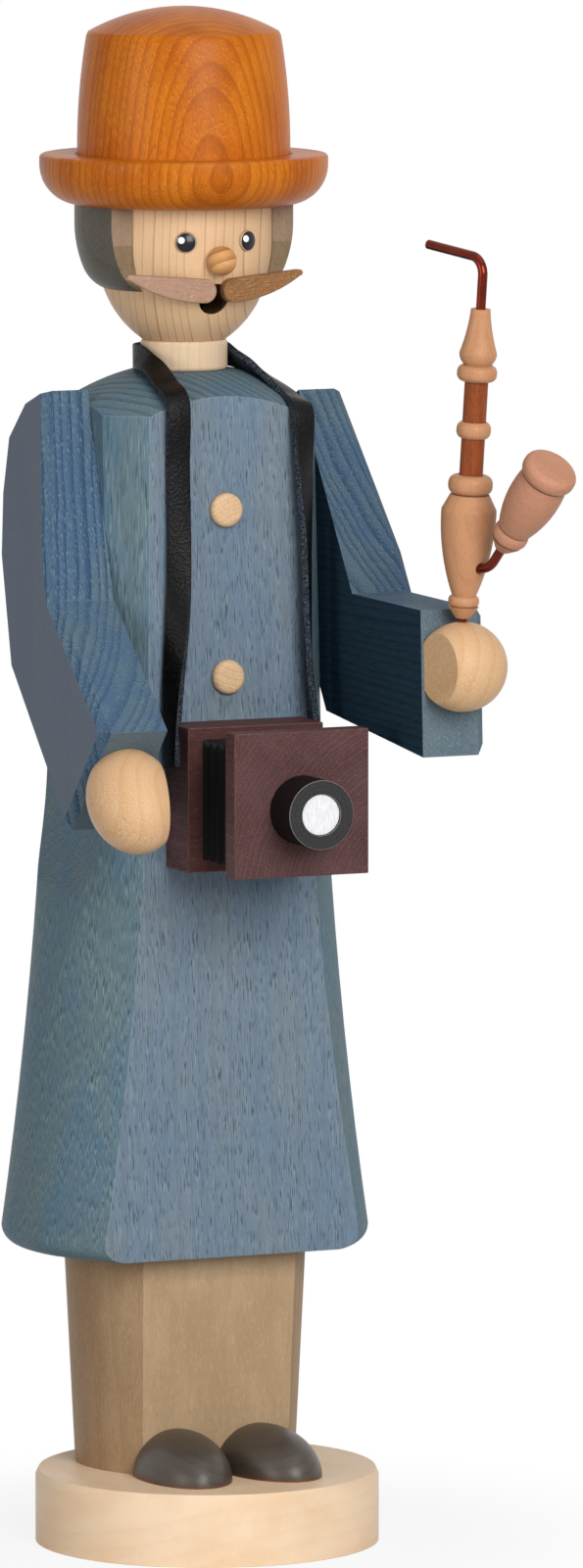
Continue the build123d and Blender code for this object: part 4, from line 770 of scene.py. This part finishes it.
def smooth_path(stations, steps=10):
    """Catmull-Rom curve through the stations, with that many steps between two of them."""
    ends = np.vstack([2 * stations[0] - stations[1], stations, 2 * stations[-1] - stations[-2]])
    a, b, c, d = (ends[first:len(ends) - 3 + first, None] for first in range(4))
    t = (np.arange(steps) / steps)[:, None]
    curve = 0.5 * (2 * b + (c - a) * t + (2 * a - 5 * b + 4 * c - d) * t ** 2
                   + (3 * b - a - 3 * c + d) * t ** 3)
    return np.vstack([curve.reshape(-1, 3), stations[-1:]])


def dome_level(x, forward):
    """Height of the shoulder dome at a place, a cone with a slight bulge."""
    share = min(max((dome_radius - np.hypot(x, forward)) / dome_reach, 0), 1)
    return shoulder + dome_rise * share + dome_bulge * share * (1 - share)


neck_radius, neck_level = collar_radius + clear, coat_top + strap_gap + half_wide


def strap_side(side):
    """Stations down one half of the strap, each with the direction from its outer to its inner
    edge: on edge round the neck, over the dome with the tilts and lifts of dome_tilts, down the
    chest, and turned on its edge again by chest_turns on the way to the side of the camera."""
    chest, edge = chest_reach[side], front_at_shoulder + clear
    inwards, up = neck_lean[side]
    rows = [((side * neck_radius * sin(turn), -neck_radius * cos(turn), neck_level), (0, 0, 1))
            for turn in map(radians, neck_turns)]
    rows.append(((side * (neck_radius + strap_gap), 0, neck_level), (-side * inwards, 0, up)))
    beside_collar = (neck_radius + off_collar, neck_radius * collar_share)
    halfway = ((neck_radius + chest) / 2, neck_radius)
    near_edge = (chest, edge * edge_share)
    dome_places = zip((beside_collar, halfway, near_edge), dome_tilts[side])
    for (x, forward), (degrees, lift) in dome_places:
        tilt = radians(degrees)
        rests = dome_level(x + half_wide * cos(tilt), forward) + clear + lift
        rows.append(((side * x, forward, rests + half_wide * sin(tilt)),
                     (-side * cos(tilt), 0, sin(tilt))))
    bend = dome_level(chest, front_at_shoulder) + clear - bend_down
    rows.append(((side * chest, edge + bend_out, bend), (-side, 0, bend_lean)))
    box_middle, box_half = (box_low[0] + box_high[0]) / 2, (box_high[0] - box_low[0]) / 2
    beside = box_middle + side * (box_half + clear)
    for drop, degrees in chest_turns[side]:
        turn = radians(degrees)
        planed = front_at_hem - front_slope * (shoulder - drop - hem) / coat_tall
        out = planed + clear + half_wide * sin(turn)
        share = (max(degrees - turns_over, 0) / (90 - turns_over)) ** 2
        forward = out + (axis_y - box_high[1] + glued_forward - out) * share
        x = side * chest + (beside - side * chest) * (1 - cos(turn))
        rows.append(((x, forward, shoulder - drop), (-side * cos(turn), -sin(turn), 0)))
    return rows


def rounded_band():
    """The band's section, across its width and through its thickness: a rectangle with its
    corners rounded to edge_radius."""
    quarter = np.linspace(0, pi / 2, edge_points)
    straight_wide, straight_thick = half_wide - edge_radius, half_thick - edge_radius
    return np.vstack([np.c_[sign_x * straight_wide + edge_radius * np.cos(quarter + start),
                            sign_y * straight_thick + edge_radius * np.sin(quarter + start)]
                      for sign_x, sign_y, start in ((1, 1, 0), (-1, 1, pi / 2), (-1, -1, pi),
                                                    (1, -1, 1.5 * pi))])


behind_neck = ((0, -neck_radius, neck_level), (0, 0, 1))
rows = [*strap_side(-1)[::-1], behind_neck, *strap_side(1)]
route = smooth_path(np.array([(x, axis_y - forward, level) for (x, forward, level), _ in rows]))
across = smooth_path(np.array([direction for _, direction in rows], float))
ahead = np.gradient(route, axis=0)
ahead /= np.linalg.norm(ahead, axis=1)[:, None]
across -= (across * ahead).sum(1)[:, None] * ahead
across /= np.linalg.norm(across, axis=1)[:, None]
inward = np.cross(ahead, across)
section = rounded_band()
band = (route[:, None] + across[:, None] * section[None, :, :1]
        + inward[:, None] * section[None, :, 1:])

# The outer face and the outer part of its round edges are smooth, up to the share smooth_ends
# of half the thickness, and all other strips are rough.
strip_level = (section[:, 1] + np.roll(section[:, 1], -1)) / 2
flesh_side = (strip_level > -smooth_ends * half_thick).astype(int)
surface("strap_band", band, (smooth_hide, rough_hide), "camera_strap", index=flesh_side)

# Pipe: turned pear wood on a dowel stem, with enamelled wire as peg, mouth end and bowl holder.
# The pear is pinkish, fine and plain under satin lacquer, the bowl a redder piece of it, and
# the stem is beech stained red-brown, with short dark pores.
pear = wood("pear_lacquered", "#C48F68", "#B47E5A", "#9A6B4C", ring=4.0, pith=(40, -120, 0),
            pores=0.35, pore_wide=0.3, pore_long=2.0, rings=0.4, end_rings=0.4, fibre=0.03,
            rough=0.4)
for node in ("pipe_body", "pipe_bead", "pipe_mouthpiece"):
    dressed(node, pear)
bowl_pear = wood("pear_bowl", "#C08A6E", "#B07B60", "#90624B", ring=4.0, pith=(40, -120, 0),
                 lean=(-30, 10, 0), pores=0.4, pore_wide=0.3, pore_long=1.6, rings=0.3,
                 end_rings=0.3, fibre=0.03, rough=0.45)
dressed("pipe_bowl", bowl_pear)
stem_brown = wood("beech_stained_brown", "#904924", "#74391A", "#522710", ring=3.0,
                  pith=(40, -90, 0), pores=0.5, pore_wide=0.35, pore_long=3.0, rings=0.5)
dressed("pipe_stem", stem_brown)

# Copper wire under clear red-brown enamel: a dark red metal with a sharp shine, and the enamel
# a little thicker every 4 mm or so.
enamel_drops = 4.0
enamel, tree = blank_material("wire_enamelled_red_brown")
spot = add(tree, "ShaderNodeTexCoord")
cloud = add(tree, "ShaderNodeTexNoise", {"Vector": spot.outputs["Object"],
                                         "Scale": 1000 / enamel_drops, "Detail": 2.0})
tone = add(tree, "ShaderNodeMix", {"Factor": cloud.outputs["Fac"], 6: colour("#4A1006"),
                                   7: colour("#7A2610")}, data_type="RGBA")
skin = add(tree, "ShaderNodeBsdfPrincipled", {"Base Color": tone.outputs[2], "Roughness": 0.16,
                                              "Metallic": 0.8})
add(tree, "ShaderNodeOutputMaterial", {"Surface": skin.outputs[0]})
for node in ("pipe_peg", "pipe_mouth_wire", "bowl_wire"):
    dressed(node, enamel)
